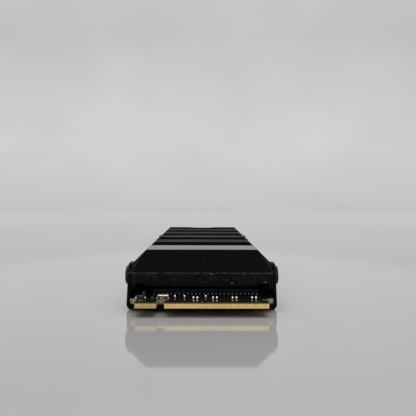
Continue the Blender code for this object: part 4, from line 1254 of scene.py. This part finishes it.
class GUMSTICK_OT_set_stage(Operator):
    """Set the pale floor, the soft light and the camera"""

    bl_idname = "gumstick.set_stage"
    bl_label = "Set Stage"

    def floor(self):
        """A sweep: a flat floor, a quarter circle and an upright backdrop, straight across."""
        side, back, bend, top, below = 1.6, 0.62, 0.30, 1.3, 0.00002
        turn = np.linspace(0.0, np.pi / 2, 17)
        flat = [-1.4, -0.2, 0.0, 0.2]
        y = np.concatenate([flat, back + bend * np.sin(turn), [back + bend]])
        z = np.concatenate([np.zeros(len(flat)), bend * (1 - np.cos(turn)), [top]]) - below
        x = np.linspace(-side, side, 5)
        points = np.stack(np.broadcast_arrays(x, y[:, None], z[:, None]), axis=-1)
        index = np.arange(points.shape[0] * points.shape[1]).reshape(points.shape[:2])
        mesh = bpy.data.meshes.new("studio_floor")
        mesh.from_pydata(points.reshape(-1, 3).tolist(), [], grid_quads(index).tolist())
        mesh.shade_smooth()
        mesh.materials.append(self.floor_finish())
        sweep = bpy.data.objects.new("studio_floor", mesh)
        bpy.context.scene.collection.objects.link(sweep)
        return sweep

    def floor_finish(self):
        """Glossy under the drive and matt further off; its colour goes from the floor's towards the
        backdrop's upwards and, as painted light, further back on the flat floor.
        """
        tint = colours()
        finish = Finish("studio_floor", tint.floor, 0.06, Specular_IOR_Level=0.8)
        mottle = finish.band(finish.noise(9.0, 3.0), 0.3, 0.7, 0.97, 1.03)
        _, away, rise = finish.axes()
        # Painted light: the flat floor takes on the paler backdrop colour further back.
        height = finish.band(rise, 0.0, 0.1, 0.0, 0.5) + finish.band(away, 0.05, 0.5, 0.0, 0.5)
        blend = finish.mix(height, opaque(tint.floor), opaque(tint.backdrop))
        finish.feed("Base Color", finish.scaled(blend, mottle))
        sockets = {0: finish.stretched((1.6, 1.0, 1.0), (0.0, 0.02, 0.0))}
        distance = finish.node("ShaderNodeVectorMath", {"operation": "LENGTH"}, sockets, "Value")
        finish.roughen(distance, 0.06, 0.8, 0.07, 0.16)
        return finish.material

    def lamp(self, name, size, power, place, aim):
        """A rectangular soft light at a place, aimed at a point."""
        light = bpy.data.lights.new(name, "AREA")
        light.shape = "RECTANGLE"
        light.size, light.size_y = size
        light.energy = power
        lamp = bpy.data.objects.new(name, light)
        lamp.location = place
        lamp.rotation_mode = "QUATERNION"
        lamp.rotation_quaternion = (Vector(aim) - Vector(place)).to_track_quat("-Z", "Y")
        bpy.context.scene.collection.objects.link(lamp)
        return lamp

    def leave_out(self, lamp, piece):
        """Light linking: the lamp doesn't light the piece, so the piece doesn't mirror it."""
        left_out = bpy.data.collections.new(lamp.name + "_leaves_out")
        left_out.objects.link(piece)
        lamp.light_linking.receiver_collection = left_out
        left_out.collection_objects[0].light_linking.link_state = "EXCLUDE"

    def lights(self, sweep):
        """A lamp over the drive, a low one before it that the floor doesn't see, and the backdrop's."""
        self.lamp("overhead_softbox", (0.5, 0.5), 1.3, (0.0, 0.05, 0.55), (0.0, 0.0, 0.0))
        front = self.lamp("front_softbox", (0.50, 0.16), 0.75, (0.05, -0.42, 0.10), (0.0, -0.03, 0.0))
        self.leave_out(front, sweep)
        backdrop = self.lamp("backdrop_light", (1.6, 0.3), 9.0, (0.0, 0.35, 1.1), (0.0, 0.92, 0.35))
        backdrop.visible_glossy = False
        world = bpy.data.worlds.new("soft_room")
        world.use_nodes = True
        background = world.node_tree.nodes["Background"]
        background.inputs["Color"].default_value = (0.80, 0.795, 0.80, 1.0)
        background.inputs["Strength"].default_value = 0.85
        bpy.context.scene.world = world

    def camera(self):
        """The photo's view: low before the connector and nearly level."""
        lens = bpy.data.cameras.new("camera")
        lens.sensor_width = 36.0
        lens.lens = 53.17
        lens.clip_start, lens.clip_end = 0.005, 10.0
        lens.dof.use_dof = False
        camera = bpy.data.objects.new("camera", lens)
        bpy.context.scene.collection.objects.link(camera)
        pitch, roll, heading = 90.0 - 1.025, -0.17, -0.485
        camera.location = (0.0001, -0.130, 0.01765)
        camera.rotation_euler = [math.radians(angle) for angle in (pitch, roll, heading)]
        bpy.context.scene.camera = camera

    def execute(self, context):
        self.lights(self.floor())
        self.camera()
        bpy.context.scene.view_settings.view_transform = "Standard"
        return {"FINISHED"}


OPERATORS = (
    GUMSTICK_OT_make_tray,
    GUMSTICK_OT_make_heatsink,
    GUMSTICK_OT_make_screws,
    GUMSTICK_OT_make_board,
    GUMSTICK_OT_make_packages,
    GUMSTICK_OT_make_chip_parts,
    GUMSTICK_OT_make_crystal,
    GUMSTICK_OT_dress_power_parts,
    GUMSTICK_OT_make_pads,
    GUMSTICK_OT_set_stage,
)


class GUMSTICK_PT_panel(Panel):
    """Lists the steps that dress the drive, and its sizes and colours"""

    bl_idname = "GUMSTICK_PT_panel"
    bl_label = "Gumstick Drive"
    bl_space_type = "VIEW_3D"
    bl_region_type = "UI"
    bl_category = "Drive"

    def draw(self, context):
        steps = self.layout.column(align=True)
        for operator in OPERATORS:
            steps.operator(operator.bl_idname)
        for group in (sizes(), colours()):
            column = self.layout.column()
            for label in group.__annotations__:
                column.prop(group, label)


CLASSES = (GumstickSizes, GumstickColours, *OPERATORS, GUMSTICK_PT_panel)


def register():
    for item in CLASSES:
        bpy.utils.register_class(item)
    bpy.types.Scene.gumstick_sizes = PointerProperty(type=GumstickSizes)
    bpy.types.Scene.gumstick_colours = PointerProperty(type=GumstickColours)


def unregister():
    del bpy.types.Scene.gumstick_colours
    del bpy.types.Scene.gumstick_sizes
    for item in reversed(CLASSES):
        bpy.utils.unregister_class(item)


def main():
    register()
    bpy.ops.gumstick.make_tray()
    bpy.ops.gumstick.make_heatsink()
    bpy.ops.gumstick.make_screws()
    bpy.ops.gumstick.make_board()
    bpy.ops.gumstick.make_packages()
    bpy.ops.gumstick.make_chip_parts()
    bpy.ops.gumstick.make_crystal()
    bpy.ops.gumstick.dress_power_parts()
    bpy.ops.gumstick.make_pads()
    bpy.ops.gumstick.set_stage()


if __name__ == "__main__":
    main()
